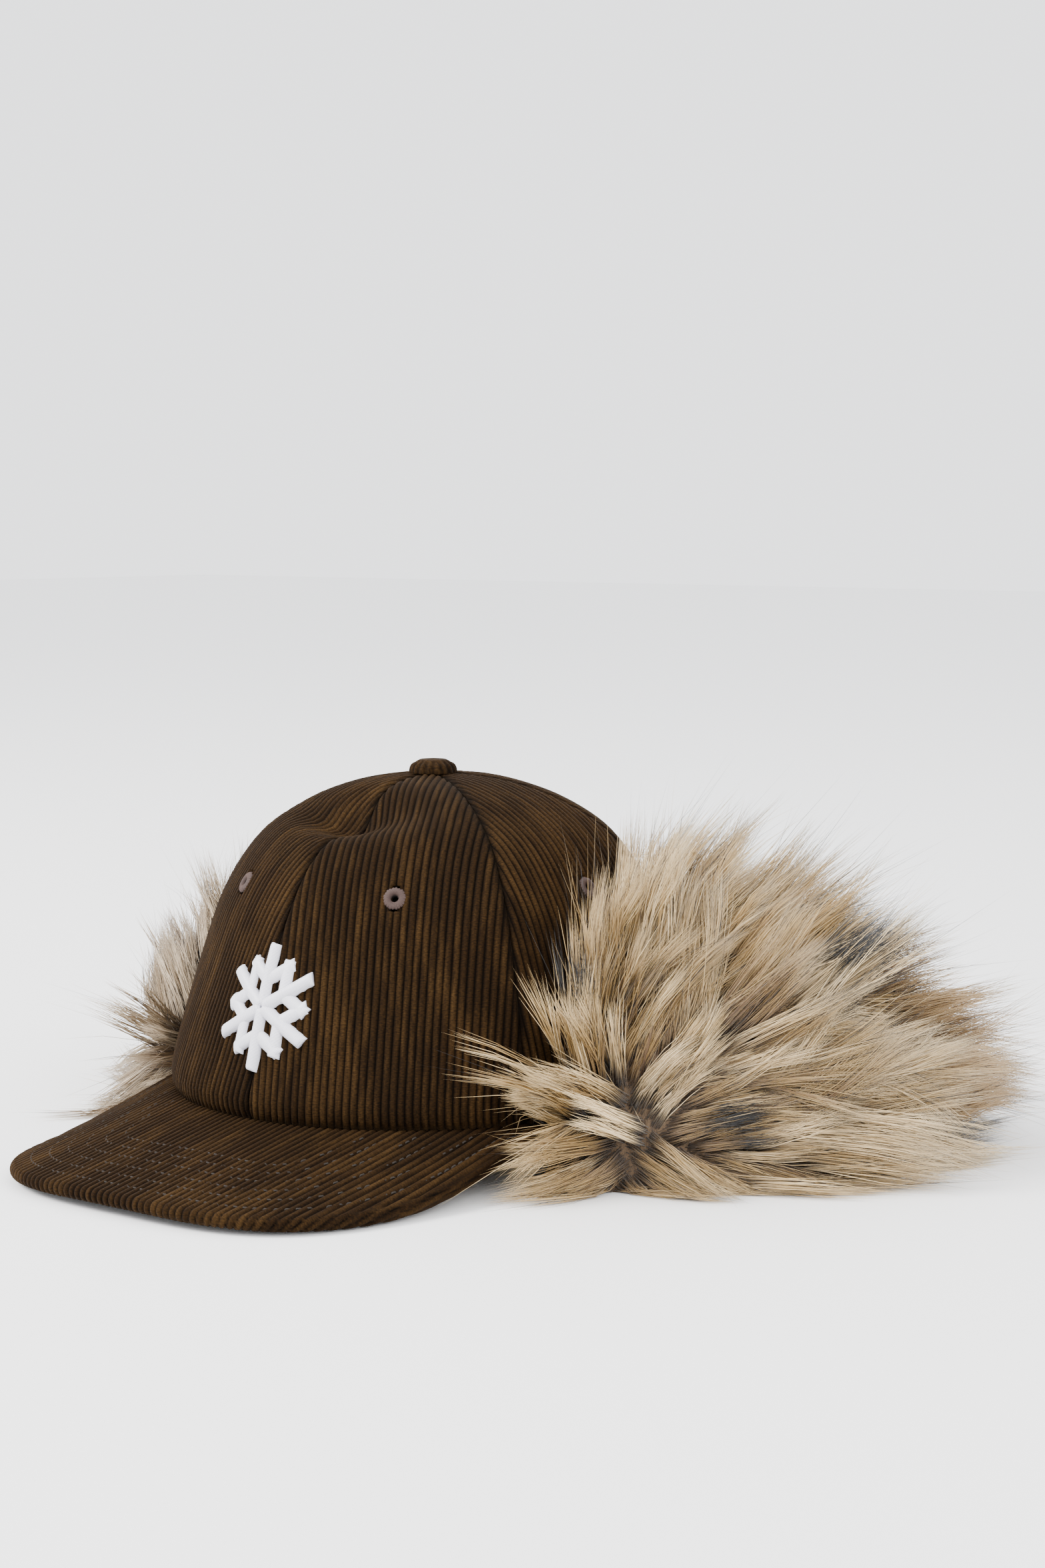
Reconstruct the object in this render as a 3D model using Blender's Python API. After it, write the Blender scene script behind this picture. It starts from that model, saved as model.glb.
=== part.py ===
# Aviator cap of corduroy with deep fur flaps, lying on a flat surface.
# Six panels make a hollow crown. A flat peak is sewn under its front, and three pads of deep fur,
# two ear flaps and a nape, hang from the sides and the back and carry the crown on the surface.
# The peak points to -Y, the wearer's left side is +X, and +Z is up.
import math
import random
from collections import namedtuple

import bmesh
import bpy
from mathutils import Vector

MM = 0.001

# Crown
RIM_HALF_LENGTH = 97 * MM
RIM_HALF_WIDTH = 89 * MM
RIM_HEIGHT = 20 * MM
CROWN_HEIGHT = 108.5 * MM
CLOTH = 2.0 * MM
SEAM_GAP = 0.3 * MM
FIT_GAP = 0.3 * MM
PANELS = 6
PANEL_FLAT = 0.045
FLAT_STARTS = 0.35
PANEL_COLUMNS = 8
PANEL_ROWS = 11

# Height and radius of the crown's outline, as shares of its height and of its rim's radius
CrownRow = namedtuple("CrownRow", "height front side back")
CROWN_ROWS = (
    CrownRow(0.000, 0.985, 0.985, 0.985),
    CrownRow(0.050, 1.000, 1.000, 1.000),
    CrownRow(0.170, 0.965, 0.985, 0.985),
    CrownRow(0.300, 0.925, 0.950, 0.965),
    CrownRow(0.450, 0.870, 0.900, 0.935),
    CrownRow(0.600, 0.795, 0.840, 0.880),
    CrownRow(0.720, 0.710, 0.760, 0.800),
    CrownRow(0.810, 0.610, 0.675, 0.710),
    CrownRow(0.875, 0.510, 0.570, 0.600),
    CrownRow(0.930, 0.390, 0.440, 0.460),
    CrownRow(0.975, 0.230, 0.260, 0.270),
    CrownRow(1.000, 0.000, 0.000, 0.000),
)

# Dents: place and size as shares of the rim's length round and of the way up, depth as a share
# of the crown's height
Dent = namedtuple("Dent", "around up width reach depth")
DENTS = (
    Dent(0.995, 0.715, 0.060, 0.075, 0.082),
    Dent(0.935, 0.690, 0.060, 0.045, 0.040),
    Dent(0.070, 0.720, 0.045, 0.060, 0.018),
)

# Button on the crown's top
BUTTON_RADIUS = 8.5 * MM
BUTTON_HEIGHT = 4.6 * MM
BUTTON_RIBS = 8
BUTTON_RIB_DEPTH = 0.35 * MM
STEM_RADIUS = 3.4 * MM
BUTTON_SIDES = 32

# Stitched eyelets, one high on each panel
EYELET_RADIUS = 3.9 * MM
EYELET_HOLE_RADIUS = 1.3 * MM
EYELET_WALL = 0.6 * MM
EYELET_RAISE = 0.9 * MM
EYELET_UP = 0.475
EYELET_SIDES = 12

# Peak
PEAK_HALF_WIDTH = 83 * MM
PEAK_LENGTH = 64 * MM
PEAK_THICKNESS = 4.5 * MM
PEAK_ARCH = 2.7 * MM
PEAK_END_TURN = 64
PEAK_SQUARENESS = 3.4
PEAK_LAP = 3.0 * MM
PEAK_STATIONS = 32

# Emblem: a six-armed flake in raised satin stitch
EMBLEM_RADIUS = 21.5 * MM
EMBLEM_BAR = 4.6 * MM
EMBLEM_PUFF = 2.2 * MM
EMBLEM_CENTRE = 38 * MM

# Fur: reach is measured out from the crown, rise up from the surface
FUR_REACH = 72 * MM
FUR_RISE = 80 * MM
FUR_LEDGE = 3.0 * MM
FUR_GAP = 0.5 * MM
FUR_END_GAP_TURN = 0.2
FUR_ROUNDNESS = 2.4
FUR_SECTION_STEPS = 6
FLAP_START_TURN = 67.5
FLAP_END_TURN = 125
FLAP_STATIONS = 10
NAPE_STATIONS = 18
LOCK_LENGTH = 46 * MM
LOCK_VARIATION = 0.22
LOCK_SOFT_TURN = 5.0
LOCK_CLEAR = 0.30
LOCK_STEEPEST = 0.60
LOCK_SIDE_GAP = 3.0 * MM
FLAP_FORWARD_TURN = 61
WHORL_HEIGHT = 20 * MM
WHORL_TURN = 74
RIGHT_FLAP_SHARE = 0.75

# Reach and rise of the fur pad at some turns from the front, as shares of the sizes above
PadRow = namedtuple("PadRow", "turn reach rise")
PAD_ROWS = (
    PadRow(60, 0.22, 0.34),
    PadRow(70, 0.32, 0.42),
    PadRow(78, 0.52, 0.66),
    PadRow(86, 0.74, 0.90),
    PadRow(95, 0.92, 1.02),
    PadRow(108, 1.04, 0.90),
    PadRow(125, 1.00, 0.74),
    PadRow(140, 0.86, 0.64),
    PadRow(160, 0.76, 0.58),
    PadRow(180, 0.72, 0.56),
)

# Locks: how the sections of one lock narrow, climb and lean, as shares
LockRow = namedtuple("LockRow", "length width lift")
LOCK_ROWS = (
    LockRow(0.34, 0.80, 0.02),
    LockRow(0.36, 0.62, 0.10),
    LockRow(0.30, 0.22, 0.20),
)


def start_clean():
    """Remove what an opened file holds."""
    for thing in list(bpy.data.objects):
        bpy.data.objects.remove(thing, do_unlink=True)


def smooth_table(xs, ys, x):
    """Value at x of a smooth curve through a table, held at the table's ends."""
    if x <= xs[0]:
        return ys[0]
    if x >= xs[-1]:
        return ys[-1]
    i = max(k for k in range(len(xs) - 1) if xs[k] <= x)
    low, high = xs[i], xs[i + 1]

    def slope(k):
        before, after = max(k - 1, 0), min(k + 1, len(xs) - 1)
        return (ys[after] - ys[before]) / (xs[after] - xs[before])

    span = high - low
    u = (x - low) / span
    return (
        (2 * u**3 - 3 * u**2 + 1) * ys[i]
        + (u**3 - 2 * u**2 + u) * span * slope(i)
        + (3 * u**2 - 2 * u**3) * ys[i + 1]
        + (u**3 - u**2) * span * slope(i + 1)
    )


def ease(x):
    """Smooth step from 0 to 1."""
    x = min(max(x, 0.0), 1.0)
    return x * x * (3 - 2 * x)


def running_share(points):
    """Share of the way along a run of points, from 0 to 1."""
    lengths = [0.0]
    for a, b in zip(points, points[1:]):
        lengths.append(lengths[-1] + math.dist(a, b))
    return [length / lengths[-1] for length in lengths]


UP_SHARES = running_share(
    [(row.side * RIM_HALF_WIDTH, row.height * CROWN_HEIGHT) for row in CROWN_ROWS]
)
TURN_STEPS = 720
TURNS = [2 * math.pi * k / TURN_STEPS for k in range(TURN_STEPS + 1)]
AROUND_SHARES = running_share(
    [(RIM_HALF_WIDTH * math.sin(t), -RIM_HALF_LENGTH * math.cos(t)) for t in TURNS]
)


def turn_at(around):
    """Angle round the crown at a share of the rim's length, from the front seam to the left."""
    whole = math.floor(around)
    share = around - whole
    i = min(int(share * TURN_STEPS), TURN_STEPS - 1)
    while i > 0 and AROUND_SHARES[i] > share:
        i -= 1
    while i < TURN_STEPS - 1 and AROUND_SHARES[i + 1] < share:
        i += 1
    part = (share - AROUND_SHARES[i]) / (AROUND_SHARES[i + 1] - AROUND_SHARES[i])
    return 2 * math.pi * whole + TURNS[i] + part * (TURNS[i + 1] - TURNS[i])


def around_at(turn):
    """Share of the rim's length at an angle round the crown."""
    whole = math.floor(turn / (2 * math.pi))
    place = (turn / (2 * math.pi) - whole) * TURN_STEPS
    i = min(int(place), TURN_STEPS - 1)
    return whole + AROUND_SHARES[i] + (place - i) * (AROUND_SHARES[i + 1] - AROUND_SHARES[i])


def shell_point(turn, up, shrink=1.0):
    """Point of the smooth shell that the crown's seams lie on."""
    height = smooth_table(UP_SHARES, [row.height for row in CROWN_ROWS], up) * CROWN_HEIGHT
    side = smooth_table(UP_SHARES, [row.side for row in CROWN_ROWS], up)
    if math.cos(turn) > 0:
        end = smooth_table(UP_SHARES, [row.front for row in CROWN_ROWS], up)
    else:
        end = smooth_table(UP_SHARES, [row.back for row in CROWN_ROWS], up)
    share = (end * math.cos(turn) ** 2 + side * math.sin(turn) ** 2) * shrink
    return Vector((
        share * RIM_HALF_WIDTH * math.sin(turn),
        -share * RIM_HALF_LENGTH * math.cos(turn),
        RIM_HEIGHT + height,
    ))


def shell_normal(turn, up):
    """Direction straight out of the smooth shell."""
    step = 0.01
    along = shell_point(turn + step, up) - shell_point(turn - step, up)
    climb = shell_point(turn, min(up + step, 1.0)) - shell_point(turn, max(up - step, 0.0))
    return along.cross(climb).normalized()


def dent_depth(around, up):
    """How far the dents push the cloth in at a place."""
    depth = 0.0
    for dent in DENTS:
        gap = (around - dent.around + 0.5) % 1.0 - 0.5
        spread = (gap / dent.width) ** 2 + ((up - dent.up) / dent.reach) ** 2
        depth += dent.depth * CROWN_HEIGHT * math.exp(-spread)
    return depth


def crown_point(around, up, out=0.0):
    """Point on a panel's outer face, or a distance out from it."""
    turn = turn_at(around)
    flat = PANEL_FLAT * ease(up / FLAT_STARTS)
    across = around * PANELS - math.floor(around * PANELS)
    point = shell_point(turn, up, 1 - flat * math.sin(math.pi * across))
    return point + shell_normal(turn, up) * (out - dent_depth(around, up))


def up_at_radius(radius):
    """Share of the way up where the crown's side has closed in to a radius."""
    low, high = 0.5, 1.0
    for _ in range(40):
        middle = (low + high) / 2
        if shell_point(math.pi / 2, middle).x > radius:
            low = middle
        else:
            high = middle
    return high


def colour_material(name, colour, roughness):
    """Plain surface of one colour."""
    material = bpy.data.materials.new(name)
    material.use_nodes = True
    shader = material.node_tree.nodes["Principled BSDF"]
    shader.inputs["Base Color"].default_value = (*colour, 1.0)
    shader.inputs["Roughness"].default_value = roughness
    shader.inputs["Metallic"].default_value = 0.0
    return material


def add_object(name, mesh, material, root):
    """Object with its own mesh and material, hung under the root."""
    item = bpy.data.objects.new(name, mesh)
    bpy.context.collection.objects.link(item)
    mesh.materials.append(material)
    item.parent = root
    return item


def mesh_from(name, points, faces):
    """Mesh of points and faces, with its faces turned outwards."""
    mesh = bpy.data.meshes.new(name)
    mesh.from_pydata([tuple(p) for p in points], [], faces)
    form = bmesh.new()
    form.from_mesh(mesh)
    bmesh.ops.recalc_face_normals(form, faces=form.faces)
    form.to_mesh(mesh)
    form.free()
    mesh.shade_smooth()
    mesh.set_sharp_from_angle(angle=math.radians(40))
    return mesh


def loop_faces(rings, size):
    """Side faces between rings of points, each ring closed on itself."""
    faces = []
    for ring in range(rings - 1):
        for k in range(size):
            after = (k + 1) % size
            faces.append((
                ring * size + k,
                ring * size + after,
                (ring + 1) * size + after,
                (ring + 1) * size + k,
            ))
    return faces


TOP_UP = up_at_radius(STEM_RADIUS + FIT_GAP + 0.5 * CLOTH)


def panel_mesh(name, index):
    """Curved wall of cloth between two seams, from the rim to the hole at the top."""
    rings = []
    for row in range(PANEL_ROWS + 1):
        up = TOP_UP * row / PANEL_ROWS
        start = crown_point(index / PANELS, up)
        end = crown_point((index + 1) / PANELS - 1e-6, up)
        inset = 0.5 * SEAM_GAP / max((end - start).length, 4 * SEAM_GAP) / PANELS
        low, high = index / PANELS + inset, (index + 1) / PANELS - inset
        places = [low + (high - low) * k / PANEL_COLUMNS for k in range(PANEL_COLUMNS + 1)]
        outer = [crown_point(place, up) for place in places]
        inner = [crown_point(place, up, -CLOTH) for place in places]
        rings.append(outer + inner[::-1])
    size = 2 * (PANEL_COLUMNS + 1)
    points = [point for ring in rings for point in ring]
    faces = loop_faces(len(rings), size)
    for ring in (0, PANEL_ROWS):
        for k in range(PANEL_COLUMNS):
            first = ring * size
            faces.append((
                first + k,
                first + k + 1,
                first + size - 2 - k,
                first + size - 1 - k,
            ))
    return mesh_from(name, points, faces)


def turned_mesh(name, profile, sides, ribs=0, rib_depth=0.0):
    """Closed form turned about Z from (radius, height, rib share) rows, as a ring or a dome."""
    points = []
    for radius, height, rib in profile:
        for k in range(sides):
            angle = 2 * math.pi * k / sides
            reach = radius - rib * rib_depth * (1 - math.cos(ribs * angle)) / 2
            points.append(Vector((reach * math.cos(angle), reach * math.sin(angle), height)))
    return points, loop_faces(len(profile), sides)


def button_mesh(name):
    """Ribbed dome with a stem that goes down through the hole in the crown."""
    stem_foot = -(CLOTH + 2 * FIT_GAP)
    profile = (
        (STEM_RADIUS, stem_foot, 0.0),
        (STEM_RADIUS, 0.0, 0.0),
        (0.97 * BUTTON_RADIUS, 0.0, 1.0),
        (BUTTON_RADIUS, 0.35 * BUTTON_HEIGHT, 1.0),
        (0.88 * BUTTON_RADIUS, 0.80 * BUTTON_HEIGHT, 1.0),
        (0.45 * BUTTON_RADIUS, BUTTON_HEIGHT, 0.6),
    )
    points, faces = turned_mesh(
        name, profile, BUTTON_SIDES, BUTTON_RIBS, BUTTON_RIB_DEPTH
    )
    last = (len(profile) - 1) * BUTTON_SIDES
    faces.append(tuple(range(BUTTON_SIDES))[::-1])
    faces.append(tuple(range(last, last + BUTTON_SIDES)))
    return mesh_from(name, points, faces)


def eyelet_mesh(name):
    """Stitched ring on the cloth with a sleeve of thread through the panel."""
    sleeve = EYELET_HOLE_RADIUS + EYELET_WALL
    foot = -(CLOTH + FIT_GAP)
    profile = (
        (EYELET_HOLE_RADIUS, foot, 0.0),
        (sleeve, foot, 0.0),
        (sleeve, FIT_GAP, 0.0),
        (EYELET_RADIUS, FIT_GAP, 0.0),
        (0.65 * EYELET_RADIUS, FIT_GAP + EYELET_RAISE, 0.0),
        (EYELET_HOLE_RADIUS, FIT_GAP + 0.5 * EYELET_RAISE, 0.0),
    )
    points, faces = turned_mesh(name, profile, EYELET_SIDES)
    last = (len(profile) - 1) * EYELET_SIDES
    for k in range(EYELET_SIDES):
        after = (k + 1) % EYELET_SIDES
        faces.append((last + k, last + after, after, k))
    return mesh_from(name, points, faces)


def hole_cutter(name, place, facing, root):
    """Hidden cylinder that cuts an eyelet's hole through its panel."""
    form = bmesh.new()
    bmesh.ops.create_cone(
        form,
        cap_ends=True,
        segments=EYELET_SIDES,
        radius1=EYELET_HOLE_RADIUS + EYELET_WALL + FIT_GAP,
        radius2=EYELET_HOLE_RADIUS + EYELET_WALL + FIT_GAP,
        depth=8 * CLOTH,
    )
    mesh = bpy.data.meshes.new(name)
    form.to_mesh(mesh)
    form.free()
    cutter = bpy.data.objects.new(name, mesh)
    bpy.context.collection.objects.link(cutter)
    cutter.parent = root
    cutter.location = place
    cutter.rotation_mode = "QUATERNION"
    cutter.rotation_quaternion = facing.to_track_quat("Z", "Y")
    cutter.hide_render = True
    cutter.display_type = "WIRE"
    return cutter


def peak_outline(share):
    """Edge of the peak in plan, from share -1 on the right to 1 on the left."""
    end_turn = math.radians(PEAK_END_TURN)
    back = -RIM_HALF_LENGTH * math.cos(end_turn)
    length = RIM_HALF_LENGTH + PEAK_LENGTH + back
    angle = share * math.pi / 2
    power = 2 / PEAK_SQUARENESS
    x = PEAK_HALF_WIDTH * math.copysign(abs(math.sin(angle)) ** power, angle)
    y = back - length * math.cos(angle) ** power
    return x, y


def peak_edge_height(x, y):
    """Height of the underside at the peak's edge: low corners, an arched front, rising sides."""
    end_turn = math.radians(PEAK_END_TURN)
    back = -RIM_HALF_LENGTH * math.cos(end_turn)
    front = RIM_HALF_LENGTH + PEAK_LENGTH
    rise_from = -0.72 * front
    away = min(max((y - rise_from) / (back - rise_from), 0.0), 1.0)
    arch = PEAK_ARCH * max(0.0, 1 - (x / (0.9 * PEAK_HALF_WIDTH)) ** 2)
    return arch + (RIM_HEIGHT - FIT_GAP - PEAK_THICKNESS) * away**1.5


def peak_mesh(name):
    """Stiff peak: one board from under the crown's rim out to a rounded edge."""
    end_turn = math.radians(PEAK_END_TURN)
    slopes = (0.0, 0.26, 0.52, 0.78, 1.0)
    rings = []
    for station in range(PEAK_STATIONS + 1):
        share = 2 * station / PEAK_STATIONS - 1
        share = min(max(share, -0.995), 0.995)
        turn = share * end_turn
        rim = shell_point(turn, 0.0)
        rim.z = 0.0
        inward = Vector((RIM_HALF_LENGTH * math.sin(turn), -RIM_HALF_WIDTH * math.cos(turn), 0))
        lap = rim - inward.normalized() * PEAK_LAP
        x, y = peak_outline(share)
        edge = Vector((x, y, 0.0))
        edge_low = peak_edge_height(x, y)
        inner_top = RIM_HEIGHT - FIT_GAP
        top = [Vector((lap.x, lap.y, inner_top))]
        low = [Vector((lap.x, lap.y, inner_top - PEAK_THICKNESS))]
        reach = 1 - 0.3 * PEAK_THICKNESS / max((edge - rim).length, PEAK_THICKNESS)
        for slope in slopes:
            place = rim.lerp(edge, slope * reach)
            height = inner_top + (edge_low + PEAK_THICKNESS - inner_top) * slope
            top.append(Vector((place.x, place.y, height)))
            low.append(Vector((place.x, place.y, height - PEAK_THICKNESS)))
        nose = Vector((edge.x, edge.y, edge_low + PEAK_THICKNESS / 2))
        rings.append(top + [nose] + low[::-1])
    size = len(rings[0])
    points = [point for ring in rings for point in ring]
    faces = loop_faces(len(rings), size)
    last = (len(rings) - 1) * size
    faces.append(tuple(range(size))[::-1])
    faces.append(tuple(range(last, last + size)))
    return mesh_from(name, points, faces)


def flake_plan():
    """Flat six-armed flake: points in the plane, and faces built from strips along each bar."""
    half = EMBLEM_BAR / 2
    corner = 2 * half
    points = [Vector((0.0, 0.0))]
    faces = []
    step = math.pi / 3
    for k in range(6):
        angle = k * step - step / 2
        points.append(Vector((corner * math.cos(angle), corner * math.sin(angle))))

    def strip(start, sides, direction, lengths):
        """Run a bar out from an edge of three points and return its rows of points."""
        rows = [sides]
        for length in lengths:
            centre = start + direction * length
            across = Vector((-direction.y, direction.x)) * half
            row = []
            for offset in (-1, 0, 1):
                points.append(centre + across * offset)
                row.append(len(points) - 1)
            before = rows[-1]
            faces.append((before[1], before[0], row[0], row[1]))
            faces.append((before[2], before[1], row[1], row[2]))
            rows.append(row)
        return rows

    for k in range(6):
        direction = Vector((math.cos(k * step), math.sin(k * step)))
        right, left = 1 + k, 1 + (k + 1) % 6
        middle = len(points)
        points.append((points[right] + points[left]) / 2)
        faces.append((0, right, middle))
        faces.append((0, middle, left))
        branch = EMBLEM_BAR / math.sin(step)
        first = corner * math.cos(step / 2) + 0.18 * EMBLEM_RADIUS
        last = first + branch
        lengths = [first, (first + last) / 2, last, (last + EMBLEM_RADIUS) / 2, EMBLEM_RADIUS]
        rows = strip(Vector((0, 0)), [right, middle, left], direction, lengths)
        reach = 0.36 * EMBLEM_RADIUS
        skew = branch / 2 * math.cos(step)
        for side, end in ((-1, 0), (1, 2)):
            turn = side * step
            way = Vector((
                direction.x * math.cos(turn) - direction.y * math.sin(turn),
                direction.x * math.sin(turn) + direction.y * math.cos(turn),
            ))
            sides = [row[end] for row in rows[1:4]][::-side]
            strip(points[rows[2][end]], sides, way, [skew + 0.5 * reach, skew + reach])
    return points, faces


def emblem_mesh(name):
    """The flake wrapped on the crown over the front seam, raised as padded stitching."""
    points, faces = flake_plan()
    rim_length = sum(
        math.dist(shell_point(a, 0.1)[:2], shell_point(b, 0.1)[:2])
        for a, b in zip(TURNS, TURNS[1:])
    )
    profile = [shell_point(0.0, k / 200) for k in range(201)]
    climbs = [0.0]
    for a, b in zip(profile, profile[1:]):
        climbs.append(climbs[-1] + (b - a).length)

    def wrapped(point, out):
        height = EMBLEM_CENTRE + point.y
        i = max(k for k in range(200) if climbs[k] <= height)
        up = (i + (height - climbs[i]) / (climbs[i + 1] - climbs[i])) / 200
        return crown_point(point.x / rim_length, up, out)

    turned = [Vector((-p.y, p.x)) for p in points]
    low = [wrapped(p, FIT_GAP + 0.05 * MM) for p in turned]
    high = [wrapped(p, FIT_GAP + 0.05 * MM + EMBLEM_PUFF) for p in turned]
    count = len(points)
    solid = [tuple(i + count for i in face) for face in faces]
    solid += [face[::-1] for face in faces]
    edges = {}
    for face in faces:
        for a, b in zip(face, face[1:] + face[:1]):
            edges[(a, b)] = edges.get((a, b), 0) + 1
    for a, b in edges:
        if (b, a) not in edges:
            solid.append((a, b, b + count, a + count))
    return mesh_from(name, low + high, solid)


def side_share(turn_degrees):
    """Size of the fur at a turn: the right flap lies flatter and smaller than the left."""
    past_nape = (turn_degrees - 180) / (360 - FLAP_END_TURN - 180)
    return 1 - (1 - RIGHT_FLAP_SHARE) * ease(past_nape)


def pad_section(turn_degrees):
    """Outline of the fur pad in one upright plane: ledge, crown side, then the outer curve."""
    turn = math.radians(turn_degrees)
    mirrored = min(turn_degrees, 360 - turn_degrees)
    turns = [row.turn for row in PAD_ROWS]
    size = side_share(turn_degrees)
    reach = FUR_REACH * size * smooth_table(turns, [row.reach for row in PAD_ROWS], mirrored)
    rise = FUR_RISE * size * smooth_table(turns, [row.rise for row in PAD_ROWS], mirrored)
    rim = shell_point(turn, 0.0)
    outward = Vector((RIM_HALF_LENGTH * math.sin(turn), -RIM_HALF_WIDTH * math.cos(turn), 0))
    outward.normalize()
    ledge = RIM_HEIGHT - FIT_GAP
    inner = rim - outward * FUR_LEDGE
    section = [Vector((inner.x, inner.y, 0.0)), Vector((inner.x, inner.y, ledge))]
    corner = rim + outward * FUR_GAP
    section.append(Vector((corner.x, corner.y, ledge)))
    heights = [row.height * CROWN_HEIGHT + RIM_HEIGHT for row in CROWN_ROWS]
    top_up = smooth_table(heights, UP_SHARES, max(rise, RIM_HEIGHT + 3 * FUR_LEDGE))
    for share in (0.3, 0.65, 1.0):
        up = top_up * share
        section.append(shell_point(turn, up) + shell_normal(turn, up) * FUR_GAP)
    top = section[-1]
    foot = rim + outward * max(reach, FUR_LEDGE)
    lean = (foot - Vector((top.x, top.y, 0))).dot(outward)
    power = 2 / FUR_ROUNDNESS
    for step in range(1, FUR_SECTION_STEPS + 1):
        angle = step * math.pi / 2 / FUR_SECTION_STEPS
        out = lean * math.sin(angle) ** power
        height = top.z * math.cos(angle) ** power
        section.append(Vector((top.x, top.y, 0)) + outward * out + Vector((0, 0, height)))
    section[-1].z = 0.0
    return section


def soft_turn(turn, low, high):
    """Ease an angle that nears or passes a limit back inside it, keeping the order of angles."""
    if turn > high - LOCK_SOFT_TURN:
        past = (turn - high + LOCK_SOFT_TURN) / LOCK_SOFT_TURN
        return high - LOCK_SOFT_TURN * math.exp(-past)
    if turn < low + LOCK_SOFT_TURN:
        past = (low + LOCK_SOFT_TURN - turn) / LOCK_SOFT_TURN
        return low + LOCK_SOFT_TURN * math.exp(-past)
    return turn


def keep_between(point, low, high):
    """Point moved round the crown so that it stays between two upright planes."""
    x, y = point.x / RIM_HALF_WIDTH, -point.y / RIM_HALF_LENGTH
    turn = soft_turn(math.degrees(math.atan2(x, y)) % 360, low, high)
    forward = min(turn, 360 - turn) < FLAP_START_TURN
    turn = math.radians(turn)
    radius = math.hypot(x, y)
    kept = Vector((
        RIM_HALF_WIDTH * radius * math.sin(turn),
        -RIM_HALF_LENGTH * radius * math.cos(turn),
        point.z,
    ))
    if forward:
        kept.x = math.copysign(max(abs(kept.x), PEAK_HALF_WIDTH + LOCK_SIDE_GAP), kept.x)
    return kept


def clear_of_crown(way, centre):
    """Way turned so that it leads off the crown at a place by at least LOCK_CLEAR."""
    outward = Vector((centre.x / RIM_HALF_WIDTH**2, centre.y / RIM_HALF_LENGTH**2, 0.0))
    outward.normalize()
    return (way + outward * max(LOCK_CLEAR - way.dot(outward), 0.0)).normalized()


def lock_direction(centre, normal, whorl):
    """Way the hair runs at a place: away from the whorl and off the pad."""
    away = centre - whorl
    away -= normal * away.dot(normal)
    strength = min(away.length / (20 * MM), 1.0)
    if away.length > 1e-9:
        away.normalize()
    return (normal * (1.0 - 0.35 * strength) + away * 0.85 * strength).normalized()


def fur_mesh(name, start, end, reach_low, reach_high, stations, whorl, seed):
    """Padded fur swept round the crown, with a lock drawn out of each cell of its outer face."""
    low, high = start + FUR_END_GAP_TURN, end - FUR_END_GAP_TURN
    turns = [low + (high - low) * k / stations for k in range(stations + 1)]
    sections = [pad_section(turn) for turn in turns]
    size = len(sections[0])
    form = bmesh.new()
    corners = [form.verts.new(point) for section in sections for point in section]
    locks = []
    for i in range(stations):
        for j in range(size):
            after = (j + 1) % size
            face = form.faces.new((
                corners[i * size + j],
                corners[i * size + after],
                corners[(i + 1) * size + after],
                corners[(i + 1) * size + j],
            ))
            if size - 1 - FUR_SECTION_STEPS <= j < size - 1:
                locks.append(face)
    form.faces.new(corners[:size][::-1])
    form.faces.new(corners[-size:])
    bmesh.ops.recalc_face_normals(form, faces=form.faces)
    chance = random.Random(seed)
    plans = []
    for face in locks:
        centre = face.calc_center_median()
        way = lock_direction(centre, face.normal, whorl)
        jitter = Vector((chance.uniform(-1, 1), chance.uniform(-1, 1), chance.uniform(-0.6, 1)))
        way = clear_of_crown(way + jitter * 0.10, centre)
        way.z = min(max(way.z, 0.0), LOCK_STEEPEST)
        way.normalize()
        length = LOCK_LENGTH * side_share(0.5 * (start + end))
        length *= 1 + LOCK_VARIATION * chance.uniform(-1, 1)
        plans.append((face, centre, way, length))
    for face, centre, way, length in plans:
        corner_offsets = [vert.co - centre for vert in face.verts]
        spot = centre.copy()
        for row in LOCK_ROWS:
            grown = bmesh.ops.extrude_discrete_faces(form, faces=[face])
            face = grown["faces"][0]
            spot = spot + (way + Vector((0, 0, row.lift))).normalized() * length * row.length
            for vert, offset in zip(face.verts, corner_offsets):
                moved = keep_between(spot + offset * row.width, reach_low, reach_high)
                moved.z = max(moved.z, vert.co.z if vert.co.z < 1e-6 else 0.4 * MM)
                vert.co = moved
    bmesh.ops.recalc_face_normals(form, faces=form.faces)
    mesh = bpy.data.meshes.new(name)
    form.to_mesh(mesh)
    form.free()
    mesh.shade_smooth()
    mesh.set_sharp_from_angle(angle=math.radians(40))
    return mesh


def whorl_point(side):
    """Point on an ear flap from which its hair fans out, on the left (1) or the right (-1)."""
    foot = pad_section(WHORL_TURN if side > 0 else 360 - WHORL_TURN)[-1]
    return Vector((foot.x, foot.y, WHORL_HEIGHT))


def build_crown(root):
    """Six panels, with the hole of an eyelet cut through each."""
    names = (
        "panel_front_left", "panel_side_left", "panel_back_left",
        "panel_back_right", "panel_side_right", "panel_front_right",
    )
    for index, name in enumerate(names):
        material = colour_material(name + "_cloth", (0.115, 0.075, 0.036), 0.85)
        panel = add_object(name, panel_mesh(name, index), material, root)
        around = (index + 0.5) / PANELS
        place = crown_point(around, EYELET_UP)
        facing = eyelet_facing(around)
        cutter = hole_cutter(name + "_hole", place, facing, root)
        cut = panel.modifiers.new("eyelet_hole", "BOOLEAN")
        cut.object = cutter
        cut.operation = "DIFFERENCE"
        cut.solver = "EXACT"
        thread = colour_material(f"eyelet_{name[6:]}_thread", (0.16, 0.10, 0.08), 0.7)
        eyelet_name = f"eyelet_{name[6:]}"
        eyelet = add_object(eyelet_name, eyelet_mesh(eyelet_name), thread, root)
        eyelet.location = place
        eyelet.rotation_mode = "QUATERNION"
        eyelet.rotation_quaternion = facing.to_track_quat("Z", "Y")


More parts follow.
